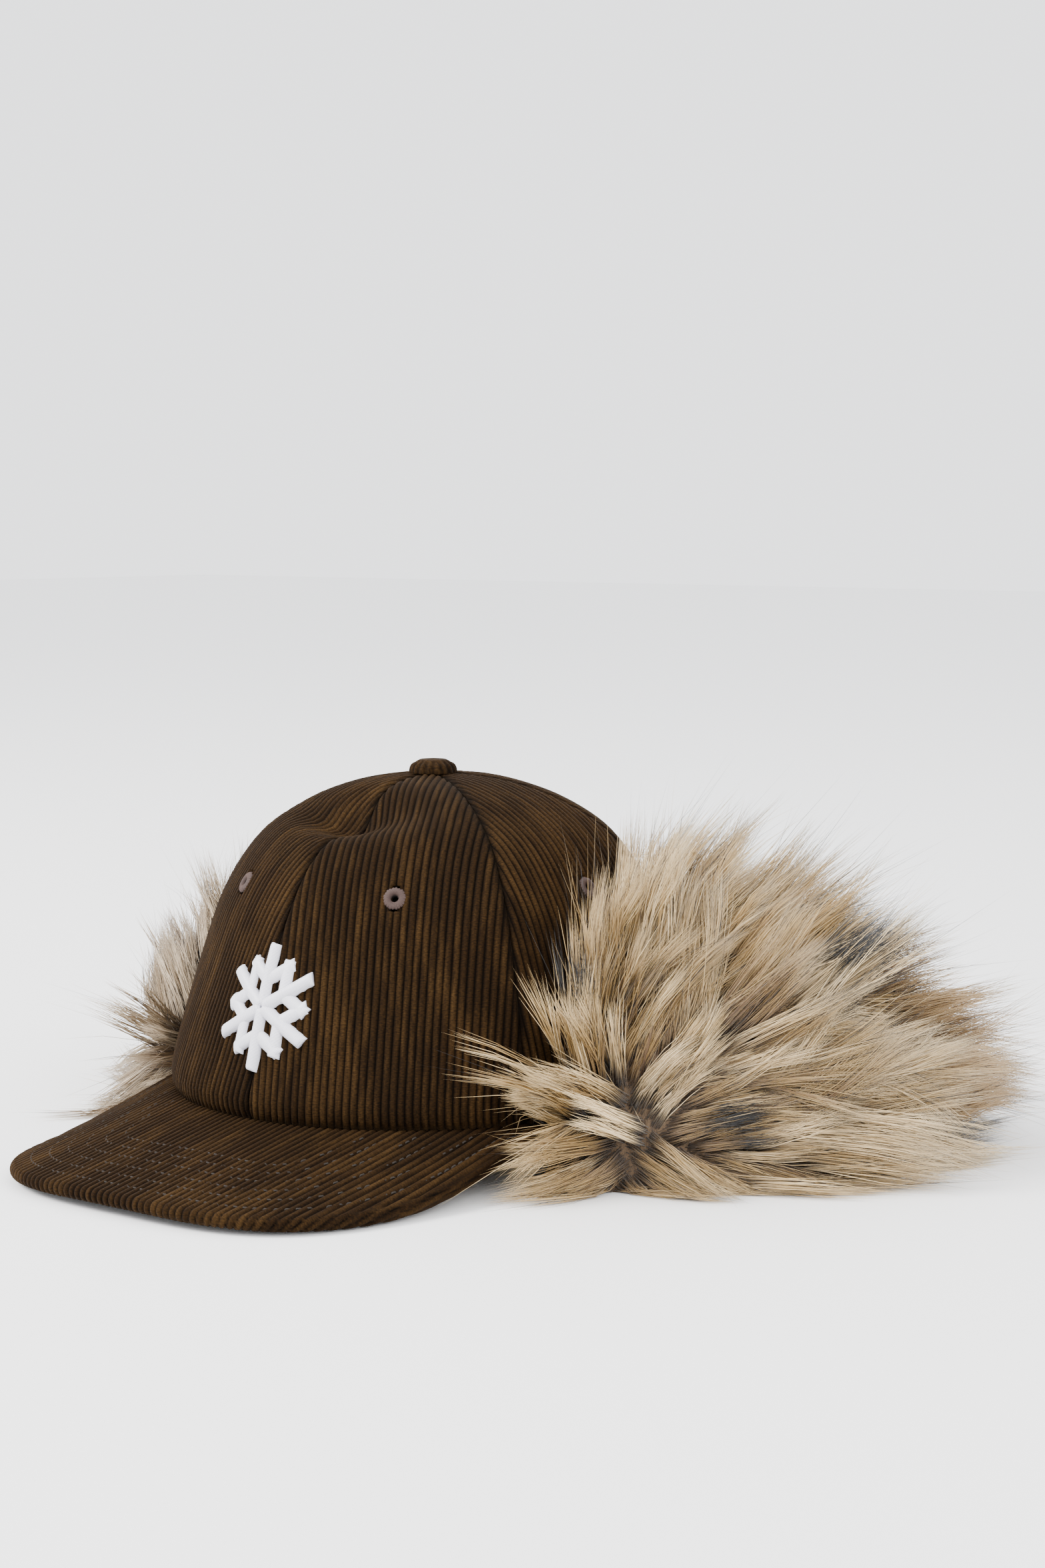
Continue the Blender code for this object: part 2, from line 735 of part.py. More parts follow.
def eyelet_facing(around):
    """Direction out of the cloth at an eyelet, square to the panel as it really lies."""
    step = 0.004
    along = crown_point(around + step, EYELET_UP) - crown_point(around - step, EYELET_UP)
    climb = crown_point(around, EYELET_UP + step) - crown_point(around, EYELET_UP - step)
    return along.cross(climb).normalized()


def build_button(root):
    """Covered button on the top of the crown."""
    material = colour_material("button_cloth", (0.115, 0.075, 0.036), 0.85)
    button = add_object("button", button_mesh("button"), material, root)
    shoulder = max(shell_point(math.radians(10 * k), TOP_UP).z for k in range(36))
    button.location = (0.0, 0.0, shoulder + FIT_GAP)


def build_peak(root):
    """Peak under the front of the crown."""
    material = colour_material("peak_cloth", (0.115, 0.075, 0.036), 0.85)
    add_object("visor", peak_mesh("visor"), material, root)


def build_emblem(root):
    """White embroidered flake on the front."""
    material = colour_material("emblem_thread", (0.85, 0.85, 0.88), 0.5)
    add_object("emblem", emblem_mesh("emblem"), material, root)


def build_fur(root):
    """Two ear flaps and the nape."""
    behind = Vector((0.0, 0.0, -FUR_RISE))
    first, last = FLAP_END_TURN, 360 - FLAP_END_TURN
    gap = FUR_END_GAP_TURN
    parts = (
        ("ear_flap_fur_left", FLAP_START_TURN, first, FLAP_FORWARD_TURN, first - gap,
         FLAP_STATIONS, whorl_point(1), 3),
        ("nape_fur", first, last, first + gap, last - gap, NAPE_STATIONS, behind, 5),
        ("ear_flap_fur_right", last, 360 - FLAP_START_TURN, last + gap, 360 - FLAP_FORWARD_TURN,
         FLAP_STATIONS, whorl_point(-1), 7),
    )
    for name, start, end, reach_low, reach_high, stations, whorl, seed in parts:
        material = colour_material(name + "_pile", (0.55, 0.40, 0.24), 0.8)
        mesh = fur_mesh(name, start, end, reach_low, reach_high, stations, whorl, seed)
        add_object(name, mesh, material, root)


def settle(root):
    """Move everything so that the middle of the box's underside is the origin."""
    bpy.context.view_layer.update()
    corners = []
    for item in root.children:
        if item.hide_render:
            continue
        corners += [item.matrix_world @ vertex.co for vertex in item.data.vertices]
    lows = [min(c[k] for c in corners) for k in range(3)]
    highs = [max(c[k] for c in corners) for k in range(3)]
    root.location = (-(lows[0] + highs[0]) / 2, -(lows[1] + highs[1]) / 2, -lows[2])


def main():
    start_clean()
    root = bpy.data.objects.new("cap", None)
    bpy.context.collection.objects.link(root)
    build_crown(root)
    build_button(root)
    build_peak(root)
    build_emblem(root)
    build_fur(root)
    settle(root)


main()
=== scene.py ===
# %% [markdown]
# # A corduroy cap with deep fur flaps
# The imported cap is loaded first. It is the fixed frame: every visible piece made below takes its
# place from it, and nothing of it is moved. We work in metres, with the peak towards -Y.

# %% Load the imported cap
import math

import bpy
import numpy as np
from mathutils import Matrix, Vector
from mathutils.bvhtree import BVHTree


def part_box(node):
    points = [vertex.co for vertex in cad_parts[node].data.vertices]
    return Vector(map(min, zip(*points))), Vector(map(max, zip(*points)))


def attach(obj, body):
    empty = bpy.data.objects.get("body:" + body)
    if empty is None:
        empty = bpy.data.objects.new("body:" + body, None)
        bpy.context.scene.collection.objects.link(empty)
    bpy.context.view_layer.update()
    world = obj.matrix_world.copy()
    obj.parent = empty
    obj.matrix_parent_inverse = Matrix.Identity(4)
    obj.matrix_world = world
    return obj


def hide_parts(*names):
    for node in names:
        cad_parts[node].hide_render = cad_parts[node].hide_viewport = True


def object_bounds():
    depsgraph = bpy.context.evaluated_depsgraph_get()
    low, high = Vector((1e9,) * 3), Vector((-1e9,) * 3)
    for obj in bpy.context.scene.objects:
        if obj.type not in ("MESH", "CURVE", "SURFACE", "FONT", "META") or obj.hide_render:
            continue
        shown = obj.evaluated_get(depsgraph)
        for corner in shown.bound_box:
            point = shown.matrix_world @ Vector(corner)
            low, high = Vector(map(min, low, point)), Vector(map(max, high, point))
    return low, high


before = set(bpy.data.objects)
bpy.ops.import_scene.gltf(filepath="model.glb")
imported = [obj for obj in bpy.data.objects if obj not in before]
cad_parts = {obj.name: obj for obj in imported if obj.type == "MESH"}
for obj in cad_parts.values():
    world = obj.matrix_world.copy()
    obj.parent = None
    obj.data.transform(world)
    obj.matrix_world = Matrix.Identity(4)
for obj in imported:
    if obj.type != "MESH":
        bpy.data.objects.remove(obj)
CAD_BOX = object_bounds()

bpy.ops.object.select_all(action="DESELECT")
print("nodes:", sorted(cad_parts))

# %% [markdown]
# ## The camera
# The photograph is taken from low in front, about 40 degrees round to the wearer's left. The
# camera stands one metre from the middle of the crown. A small upward shift puts the cap low in
# the frame, as in the photograph, without tilting the camera.

# %% Camera
MM = 0.001
PHOTO_WIDTH, PHOTO_HEIGHT = 1568, 2352
BUTTON_LOW, BUTTON_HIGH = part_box("button")
AXIS = (BUTTON_LOW + BUTTON_HIGH) / 2
AXIS.z = 0.0
VIEW_AZIMUTH, VIEW_ELEVATION = 39.7, 9.2
VIEW_DISTANCE = 1.0
AIM_HEIGHT = 60 * MM
PIXELS_PER_METRE = 4220
AIM_PIXEL = (649.6, 1444.5)


def add_camera():
    """Camera at the photograph's angle, with its lens worked out from the scale in the photo."""
    azimuth, elevation = math.radians(VIEW_AZIMUTH), math.radians(VIEW_ELEVATION)
    back = Vector((
        math.sin(azimuth) * math.cos(elevation),
        -math.cos(azimuth) * math.cos(elevation),
        math.sin(elevation),
    ))
    focal = PIXELS_PER_METRE * VIEW_DISTANCE
    pan = math.atan((PHOTO_WIDTH / 2 - AIM_PIXEL[0]) / focal)
    data = bpy.data.cameras.new("photo_camera")
    data.sensor_width = 36
    data.lens = 36 * focal / PHOTO_HEIGHT
    data.shift_y = (AIM_PIXEL[1] - PHOTO_HEIGHT / 2) / PHOTO_HEIGHT
    camera = bpy.data.objects.new("photo_camera", data)
    bpy.context.scene.collection.objects.link(camera)
    camera.location = AXIS + Vector((0, 0, AIM_HEIGHT)) + back * VIEW_DISTANCE
    facing = (-back).to_track_quat("-Z", "Y")
    camera.rotation_euler = facing.to_matrix().to_euler()
    camera.rotation_euler.z -= pan
    bpy.context.scene.camera = camera
    print("lens", round(data.lens, 1), "mm, shift", round(data.shift_y, 3))


add_camera()

# %% [markdown]
# ## Floor and light
# A plain pale floor carries the cap. The light is soft: a bright pale sky, one large panel from
# the upper left of the camera and a weaker one from the right, so that the ribs keep their relief.

# %% Floor and light
FLOOR_HALF = 6.0


def plain_material(name, colour, roughness):
    """Material of one plain colour, for the floor alone."""
    material = bpy.data.materials.new(name)
    material.use_nodes = True
    shader = material.node_tree.nodes["Principled BSDF"]
    shader.inputs["Base Color"].default_value = (*colour, 1.0)
    shader.inputs["Roughness"].default_value = roughness
    return material


def add_floor():
    """Large pale plane at the height that the cap stands on."""
    bpy.ops.mesh.primitive_plane_add(size=2 * FLOOR_HALF, location=(0, 0, 0))
    floor = bpy.context.object
    floor.name = "studio_floor"
    floor.data.materials.append(plain_material("pale_floor", (0.92, 0.92, 0.92), 0.9))
    return floor


def add_area_light(name, place, aim, size, power, colour):
    """Square soft light at a place, turned to a point."""
    data = bpy.data.lights.new(name, "AREA")
    data.size = size
    data.energy = power
    data.color = colour
    lamp = bpy.data.objects.new(name, data)
    bpy.context.scene.collection.objects.link(lamp)
    lamp.location = place
    lamp.rotation_euler = (Vector(aim) - Vector(place)).to_track_quat("-Z", "Y").to_euler()
    return lamp


def add_sky(colour, strength):
    """Even pale light from all sides."""
    world = bpy.data.worlds.new("studio_sky")
    world.use_nodes = True
    background = world.node_tree.nodes["Background"]
    background.inputs["Color"].default_value = (*colour, 1.0)
    background.inputs["Strength"].default_value = strength
    bpy.context.scene.world = world


add_floor()
add_sky((0.97, 0.98, 1.0), 2.4)
add_area_light("key_panel", (-1.1, -1.3, 1.6), (0, 0, 0.05), 1.0, 95, (1.0, 0.98, 0.95))
add_area_light("fill_panel", (1.9, -0.7, 1.1), (0.05, 0, 0.05), 1.4, 40, (1.0, 0.99, 0.98))
print("floor and lights are in place")

# %% [markdown]
# ## The crown's shape
# The crown is one smooth shell that closes in towards the button. Its outline is a short table of
# shares, one column each for the front, the sides and the back. Six panels are cut from it, each a
# little flatter between its seams, and a few soft dents push the cloth in above the forehead. All
# the crown's pieces below ask one function where the cloth lies.

# %% Where the crown's cloth lies
RIM_HALF_LENGTH, RIM_HALF_WIDTH = 97 * MM, 89 * MM
CROWN_LOW = min(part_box(n)[0].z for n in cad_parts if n.startswith("panel_"))
CROWN_HEIGHT = 108.5 * MM
CLOTH = 2.0 * MM
PANELS = 6
PANEL_FLAT, FLAT_STARTS = 0.045, 0.35
TOP_RADIUS = 4.7 * MM
# height, then radius at the front, the side and the back
CROWN_ROWS = np.array([
    (0.000, 0.985, 0.985, 0.985),
    (0.050, 1.000, 1.000, 1.000),
    (0.170, 0.965, 0.985, 0.985),
    (0.300, 0.925, 0.950, 0.965),
    (0.450, 0.870, 0.900, 0.935),
    (0.600, 0.795, 0.840, 0.880),
    (0.720, 0.710, 0.760, 0.800),
    (0.810, 0.610, 0.675, 0.710),
    (0.875, 0.510, 0.570, 0.600),
    (0.930, 0.390, 0.440, 0.460),
    (0.975, 0.230, 0.260, 0.270),
    (1.000, 0.000, 0.000, 0.000),
])
# place round and up, width, reach and depth of each dent
DENTS = (
    (0.995, 0.715, 0.060, 0.075, 0.082),
    (0.935, 0.690, 0.060, 0.045, 0.040),
    (0.070, 0.720, 0.045, 0.060, 0.018),
)


def table_curve(xs, ys, x):
    """Smooth curve through a table, for arrays of x."""
    slopes = np.empty(len(ys))
    slopes[1:-1] = (ys[2:] - ys[:-2]) / (xs[2:] - xs[:-2])
    slopes[0] = (ys[1] - ys[0]) / (xs[1] - xs[0])
    slopes[-1] = (ys[-1] - ys[-2]) / (xs[-1] - xs[-2])
    x = np.clip(x, xs[0], xs[-1])
    i = np.clip(np.searchsorted(xs, x, side="right") - 1, 0, len(xs) - 2)
    span = xs[i + 1] - xs[i]
    u = (x - xs[i]) / span
    return (
        (2 * u**3 - 3 * u**2 + 1) * ys[i]
        + (u**3 - 2 * u**2 + u) * span * slopes[i]
        + (3 * u**2 - 2 * u**3) * ys[i + 1]
        + (u**3 - u**2) * span * slopes[i + 1]
    )


def running_share(points):
    """Share of the way along a run of points."""
    steps = np.linalg.norm(np.diff(points, axis=0), axis=1)
    total = np.concatenate([[0.0], np.cumsum(steps)])
    return total / total[-1]


def ease(x):
    """Smooth step from 0 to 1."""
    x = np.clip(x, 0.0, 1.0)
    return x * x * (3 - 2 * x)


UP_SHARES = running_share(CROWN_ROWS[:, [2, 0]] * (RIM_HALF_WIDTH, CROWN_HEIGHT))
TURNS = np.linspace(0, 2 * math.pi, 721)
AROUND_SHARES = running_share(
    np.stack([RIM_HALF_WIDTH * np.sin(TURNS), -RIM_HALF_LENGTH * np.cos(TURNS)], -1)
)


def turn_at(around):
    """Angle round the crown at a share of the rim's length from the front seam."""
    whole = np.floor(around)
    return 2 * math.pi * whole + np.interp(around - whole, AROUND_SHARES, TURNS)


def shell_point(turn, up, shrink=1.0):
    """Points of the smooth shell that the seams lie on."""
    height, front, side, back = (table_curve(UP_SHARES, CROWN_ROWS[:, k], up) for k in range(4))
    end = np.where(np.cos(turn) > 0, front, back)
    share = (end * np.cos(turn) ** 2 + side * np.sin(turn) ** 2) * shrink
    return np.stack([
        AXIS.x + share * RIM_HALF_WIDTH * np.sin(turn),
        AXIS.y - share * RIM_HALF_LENGTH * np.cos(turn),
        CROWN_LOW + height * CROWN_HEIGHT + 0 * turn,
    ], -1)


def unit(vectors):
    """Vectors of length one."""
    return vectors / np.maximum(np.linalg.norm(vectors, axis=-1, keepdims=True), 1e-12)


def shell_normal(turn, up):
    """Directions straight out of the smooth shell."""
    step = 0.01
    along = shell_point(turn + step, up) - shell_point(turn - step, up)
    climb = shell_point(turn, np.minimum(up + step, 1)) - shell_point(turn, np.maximum(up - step, 0))
    return unit(np.cross(along, climb))


def dent_depth(around, up):
    """How far the dents push the cloth in."""
    depth = 0.0 * around * up
    for at, height, width, reach, deep in DENTS:
        gap = (around - at + 0.5) % 1.0 - 0.5
        depth = depth + deep * CROWN_HEIGHT * np.exp(
            -(gap / width) ** 2 - ((up - height) / reach) ** 2
        )
    return depth


def crown_point(around, up, out=0.0):
    """Points on the crown's outer face, or a distance out from it."""
    turn = turn_at(around)
    flat = PANEL_FLAT * ease(up / FLAT_STARTS)
    across = around * PANELS - np.floor(around * PANELS)
    point = shell_point(turn, up, 1 - flat * np.sin(math.pi * across))
    push = out - dent_depth(around, up)
    return point + shell_normal(turn, up) * push[..., None]


def up_where_radius(radius):
    """Share of the way up where the shell has closed in to a radius."""
    ups = np.linspace(0.5, 1.0, 4001)
    radii = shell_point(np.full(ups.shape, math.pi / 2), ups)[:, 0] - AXIS.x
    return float(ups[np.argmax(radii < radius)])


TOP_UP = up_where_radius(TOP_RADIUS)
print("crown from", round(CROWN_LOW, 4), "m, panels end at", round(TOP_UP, 3), "of the way up")

# %% [markdown]
# ## Corduroy
# Corduroy is a pile cloth with wales: soft round cords, here 2.6 mm apart, with thin dark grooves
# between them. The wales are real relief in the mesh. Each mesh also stores how high on a wale
# every point lies, so that one material can paint shade into the grooves and keep the cloth's own
# colour on the crests. The pile's fine grain and its patchy, rubbed look come from noise stretched
# along the wales; the lighter patches are partly wear and partly painted sheen.

# %% Shared shader groups
WALE_PITCH = 2.6 * MM
WALE_DEPTH = 0.85 * MM


def new_group(name, inputs, outputs):
    """Empty shader group with named sockets: (name, socket type, default)."""
    group = bpy.data.node_groups.new(name, "ShaderNodeTree")
    for label, kind, value in inputs:
        socket = group.interface.new_socket(name=label, in_out="INPUT", socket_type=kind)
        socket.default_value = value
    for label, kind in outputs:
        group.interface.new_socket(name=label, in_out="OUTPUT", socket_type=kind)
    start = group.nodes.new("NodeGroupInput")
    end = group.nodes.new("NodeGroupOutput")
    return group, start, end


def add_node(tree, kind, **settings):
    """Node of a kind, with properties or numbered inputs set."""
    node = tree.nodes.new(kind)
    for key, value in settings.items():
        setattr(node, key, value)
    return node


def mix_colour(tree, mode, factor, first, second):
    """Mix node for colours; each argument is a value or a socket."""
    node = add_node(tree, "ShaderNodeMix", data_type="RGBA", blend_type=mode)
    for socket, given in ((node.inputs[0], factor), (node.inputs[6], first), (node.inputs[7], second)):
        if isinstance(given, bpy.types.NodeSocket):
            tree.links.new(given, socket)
        elif isinstance(given, (int, float)):
            socket.default_value = given
        else:
            socket.default_value = (*given, 1.0)
    return node.outputs[2]


def maths(tree, operation, first, second=0.0, clamp=False):
    """Math node; each argument is a number or a socket."""
    node = add_node(tree, "ShaderNodeMath", operation=operation, use_clamp=clamp)
    for socket, given in zip(node.inputs, (first, second)):
        if isinstance(given, bpy.types.NodeSocket):
            tree.links.new(given, socket)
        else:
            socket.default_value = given
    return node.outputs[0]


def noise(tree, vector, scale, detail=3.0, roughness=0.55):
    """Noise value on a vector."""
    node = add_node(tree, "ShaderNodeTexNoise")
    node.inputs["Scale"].default_value = scale
    node.inputs["Detail"].default_value = detail
    node.inputs["Roughness"].default_value = roughness
    tree.links.new(vector, node.inputs["Vector"])
    return node.outputs["Fac"]


def ramp(tree, value, stops):
    """Colour ramp with (place, colour) stops."""
    node = add_node(tree, "ShaderNodeValToRGB")
    elements = node.color_ramp.elements
    while len(elements) < len(stops):
        elements.new(0.5)
    for element, (place, colour) in zip(elements, stops):
        element.position = place
        element.color = (*colour, 1.0)
    tree.links.new(value, node.inputs["Fac"])
    return node.outputs["Color"]


def stretched(tree, vector, scale):
    """Vector scaled unevenly."""
    node = add_node(tree, "ShaderNodeMapping")
    node.inputs["Scale"].default_value = scale
    tree.links.new(vector, node.inputs["Vector"])
    return node.outputs["Vector"]


def make_pile_group():
    """Corduroy pile: colour, roughness and height from a wale's height and the cloth's own map."""
    group, start, end = new_group(
        "corduroy_pile",
        [
            ("Wale", "NodeSocketFloat", 0.5),
            ("Cloth", "NodeSocketVector", (0.0, 0.0, 0.0)),
            ("Groove Shade", "NodeSocketColor", (0.010, 0.0055, 0.0025, 1.0)),
            ("Crest", "NodeSocketColor", (0.115, 0.066, 0.028, 1.0)),
            ("Wear And Sheen", "NodeSocketColor", (0.19, 0.115, 0.050, 1.0)),
        ],
        [
            ("Color", "NodeSocketColor"),
            ("Roughness", "NodeSocketFloat"),
            ("Height", "NodeSocketFloat"),
        ],
    )
    cloth, wale = start.outputs["Cloth"], start.outputs["Wale"]
    streaks = noise(group, stretched(group, cloth, (385, 48, 1)), 1.0, 4.0, 0.6)
    patches = noise(group, stretched(group, cloth, (52, 17, 1)), 1.0, 3.0, 0.55)
    grain = noise(group, stretched(group, cloth, (900, 2100, 1)), 1.0, 3.0, 0.65)
    lifted = maths(group, "SUBTRACT", maths(group, "MULTIPLY", grain, 0.5), 0.25)
    level = maths(group, "ADD", wale, lifted, True)
    # painted shade: low places on a wale take the dark groove colour, high places the crest colour
    body = mix_colour(group, "MIX", maths(group, "POWER", level, 1.5), start.outputs["Groove Shade"],
                      start.outputs["Crest"])
    # rubbed patches on the crests turn lighter, partly from wear and partly as painted sheen
    wear_and_sheen_mask = maths(group, "ADD", maths(group, "MULTIPLY", patches, 0.8),
                    maths(group, "MULTIPLY", streaks, 0.8))
    wear_and_sheen_mask = maths(group, "MULTIPLY", maths(group, "SUBTRACT", wear_and_sheen_mask, 0.74, True), 3.4, True)
    wear_and_sheen_mask = maths(group, "MULTIPLY", wear_and_sheen_mask, level, True)
    body = mix_colour(group, "MIX", wear_and_sheen_mask, body, start.outputs["Wear And Sheen"])
    speck = ramp(group, grain, [(0.30, (0.45, 0.43, 0.41)), (0.70, (1.45, 1.40, 1.32))])
    body = mix_colour(group, "MULTIPLY", 1.0, body, speck)
    group.links.new(body, end.inputs["Color"])
    rough = maths(group, "MULTIPLY_ADD", grain, 0.25)
    rough.node.inputs[2].default_value = 0.66
    group.links.new(rough, end.inputs["Roughness"])
    height = maths(group, "ADD", maths(group, "MULTIPLY", grain, 0.6), streaks)
    group.links.new(height, end.inputs["Height"])
    return group


PILE_GROUP = make_pile_group()


# The groove colour is painted shade; the lighter patch colour is partly wear and partly painted sheen.
def corduroy_material(name, crest, wear_and_sheen, groove=(0.0014, 0.0007, 0.0003), sheen=0.022):
    """Corduroy for one piece, read from its wale attribute and its own map."""
    material = bpy.data.materials.new(name)
    material.use_nodes = True
    tree = material.node_tree
    shader = tree.nodes["Principled BSDF"]
    pile = add_node(tree, "ShaderNodeGroup")
    pile.node_tree = PILE_GROUP
    pile.inputs["Crest"].default_value = (*crest, 1.0)
    pile.inputs["Wear And Sheen"].default_value = (*wear_and_sheen, 1.0)
    pile.inputs["Groove Shade"].default_value = (*groove, 1.0)
    wale = add_node(tree, "ShaderNodeAttribute", attribute_name="wale")
    cloth = add_node(tree, "ShaderNodeUVMap", uv_map="cloth")
    tree.links.new(wale.outputs["Fac"], pile.inputs["Wale"])
    tree.links.new(cloth.outputs["UV"], pile.inputs["Cloth"])
    tree.links.new(pile.outputs["Color"], shader.inputs["Base Color"])
    tree.links.new(pile.outputs["Roughness"], shader.inputs["Roughness"])
    bump = add_node(tree, "ShaderNodeBump")
    bump.inputs["Strength"].default_value = 0.55
    bump.inputs["Distance"].default_value = 0.0004
    tree.links.new(pile.outputs["Height"], bump.inputs["Height"])
    tree.links.new(bump.outputs["Normal"], shader.inputs["Normal"])
    shader.inputs["Sheen Weight"].default_value = sheen
    shader.inputs["Sheen Roughness"].default_value = 0.45
    shader.inputs["Sheen Tint"].default_value = (0.95, 0.62, 0.34, 1.0)
    shader.inputs["Specular IOR Level"].default_value = 0.04
    return material


PANEL_CLOTH = corduroy_material("panel_corduroy", (0.0125, 0.0062, 0.0020), (0.034, 0.0182, 0.0062))
PEAK_CLOTH = corduroy_material("peak_corduroy", (0.0130, 0.0064, 0.0021), (0.034, 0.0182, 0.0062))
print("corduroy materials are ready")

# %% [markdown]
# ## Helpers for meshes
# Panels start as a grid primitive. Its columns are then set on the wales, five to a wale, closer
# together where the groove is steep, and its points are wrapped on the crown. Where a wale runs
# out into a seam its points meet on the seam, and they are merged there.

# %% Mesh helpers
WALE_STOPS = np.array([0.0, 0.15, 0.34, 0.66, 0.85])
WALE_LEVELS = np.array([0.0, 0.60, 0.97, 0.97, 0.60])


def wale_columns(half_width):
    """Places across the cloth for the grid's columns, and each one's height on its wale."""
    wales = int(math.ceil(half_width / WALE_PITCH))
    places = (np.arange(-wales, wales)[:, None] + WALE_STOPS[None, :]).ravel() * WALE_PITCH
    levels = np.tile(WALE_LEVELS, 2 * wales)
    return np.append(places, wales * WALE_PITCH), np.append(levels, 0.0)


def wale_level(place):
    """Height on its wale of any place across the cloth, from 0 in a groove to 1 on a crest."""
    part = (place / WALE_PITCH) % 1.0
    stops = np.append(WALE_STOPS, 1.0)
    levels = np.append(WALE_LEVELS, 0.0)
    return np.interp(part, stops, levels)


def store_cloth(mesh, wale, across, along):
    """Keep each point's wale height as an attribute, and its place on the flat cloth as a map."""
    # the material turns a low wale height into painted shade
    attribute = mesh.attributes.new("wale", "FLOAT", "POINT")
    attribute.data.foreach_set("value", np.asarray(wale, np.float32).ravel())
    layer = mesh.uv_layers.new(name="cloth")
    corner = np.empty(len(mesh.loops), np.int32)
    mesh.loops.foreach_get("vertex_index", corner)
    flat = np.stack([np.ravel(across)[corner], np.ravel(along)[corner]], -1)
    layer.data.foreach_set("uv", flat.astype(np.float32).ravel())


def wrapped_grid(name, points):
    """Grid primitive with as many rows and columns as an array of points, moved onto them."""
    rows, columns = points.shape[:2]
    bpy.ops.object.select_all(action="DESELECT")
    bpy.ops.mesh.primitive_grid_add(x_subdivisions=columns - 1, y_subdivisions=rows - 1, size=1)
    piece = bpy.context.object
    piece.name = name
    mesh = piece.data
    flat = np.empty(3 * len(mesh.vertices), np.float32)
    mesh.vertices.foreach_get("co", flat)
    flat = flat.reshape(-1, 3)
    column = np.rint((flat[:, 0] + 0.5) * (columns - 1)).astype(int)
    row = np.rint((flat[:, 1] + 0.5) * (rows - 1)).astype(int)
    mesh.vertices.foreach_set("co", points[row, column].astype(np.float32).ravel())
    mesh.update()
    return piece, row, column


def merge_points(piece, distance=1e-5):
    """Merge points that meet, in edit mode."""
    bpy.ops.object.select_all(action="DESELECT")
    piece.select_set(True)
    bpy.context.view_layer.objects.active = piece
    bpy.ops.object.mode_set(mode="EDIT")
    bpy.ops.mesh.select_all(action="SELECT")
    bpy.ops.mesh.remove_doubles(threshold=distance)
    bpy.ops.mesh.dissolve_degenerate(threshold=distance)
    bpy.ops.object.mode_set(mode="OBJECT")


def face_outwards(piece):
    """Turn all of a piece's faces outwards, in edit mode."""
    bpy.ops.object.select_all(action="DESELECT")
    piece.select_set(True)
    bpy.context.view_layer.objects.active = piece
    bpy.ops.object.mode_set(mode="EDIT")
    bpy.ops.mesh.select_all(action="SELECT")
    bpy.ops.mesh.normals_make_consistent(inside=False)
    bpy.ops.object.mode_set(mode="OBJECT")


def apply_solidify(piece, thickness):
    """Give a sheet its wall, inwards from the face that is modelled."""
    bpy.ops.object.select_all(action="DESELECT")
    piece.select_set(True)
    bpy.context.view_layer.objects.active = piece
    wall = piece.modifiers.new("wall", "SOLIDIFY")
    wall.thickness = thickness
    wall.offset = -1.0
    wall.use_even_offset = False
    bpy.ops.object.modifier_apply(modifier=wall.name)


def finish_piece(piece, material, slot, *nodes):
    """Material, smooth shading, and the piece's place in the frame."""
    piece.data.materials.clear()
    piece.data.materials.append(material)
    piece.data.shade_smooth()
    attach(piece, "root")
    if nodes:
        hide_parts(*nodes)
    print(piece.name, len(piece.data.polygons), "faces")


# %% [markdown]
# ## The six panels
# On a real cap each panel is cut with its wales running straight up its middle, so towards its
# sides the wales run out into the seam. The seam itself is a narrow valley, because the cloth is
# turned in and stitched behind. The eyelet's hole is opened where the CAD has it.

# %% Panels
PANEL_NAMES = (
    "panel_front_left", "panel_side_left", "panel_back_left",
    "panel_back_right", "panel_side_right", "panel_front_right",
)
PANEL_ROWS = 50
SEAM_LAP, SEAM_FADE, SEAM_SHADE = 0.15 * MM, 0.8 * MM, 2.2 * MM
PANEL_WALL = CLOTH - 0.4 * MM
SEAM_DEPTH, SEAM_WIDTH = 0.7 * MM, 1.1 * MM
EYELET_UP = 0.475
EYELET_CLEAR = 2.3 * MM


def climb_lengths(around, ups):
    """Length up the cloth from the rim to each share of the way up."""
    path = crown_point(np.full(ups.shape, around), ups)
    return np.concatenate([[0.0], np.cumsum(np.linalg.norm(np.diff(path, axis=0), axis=1))])


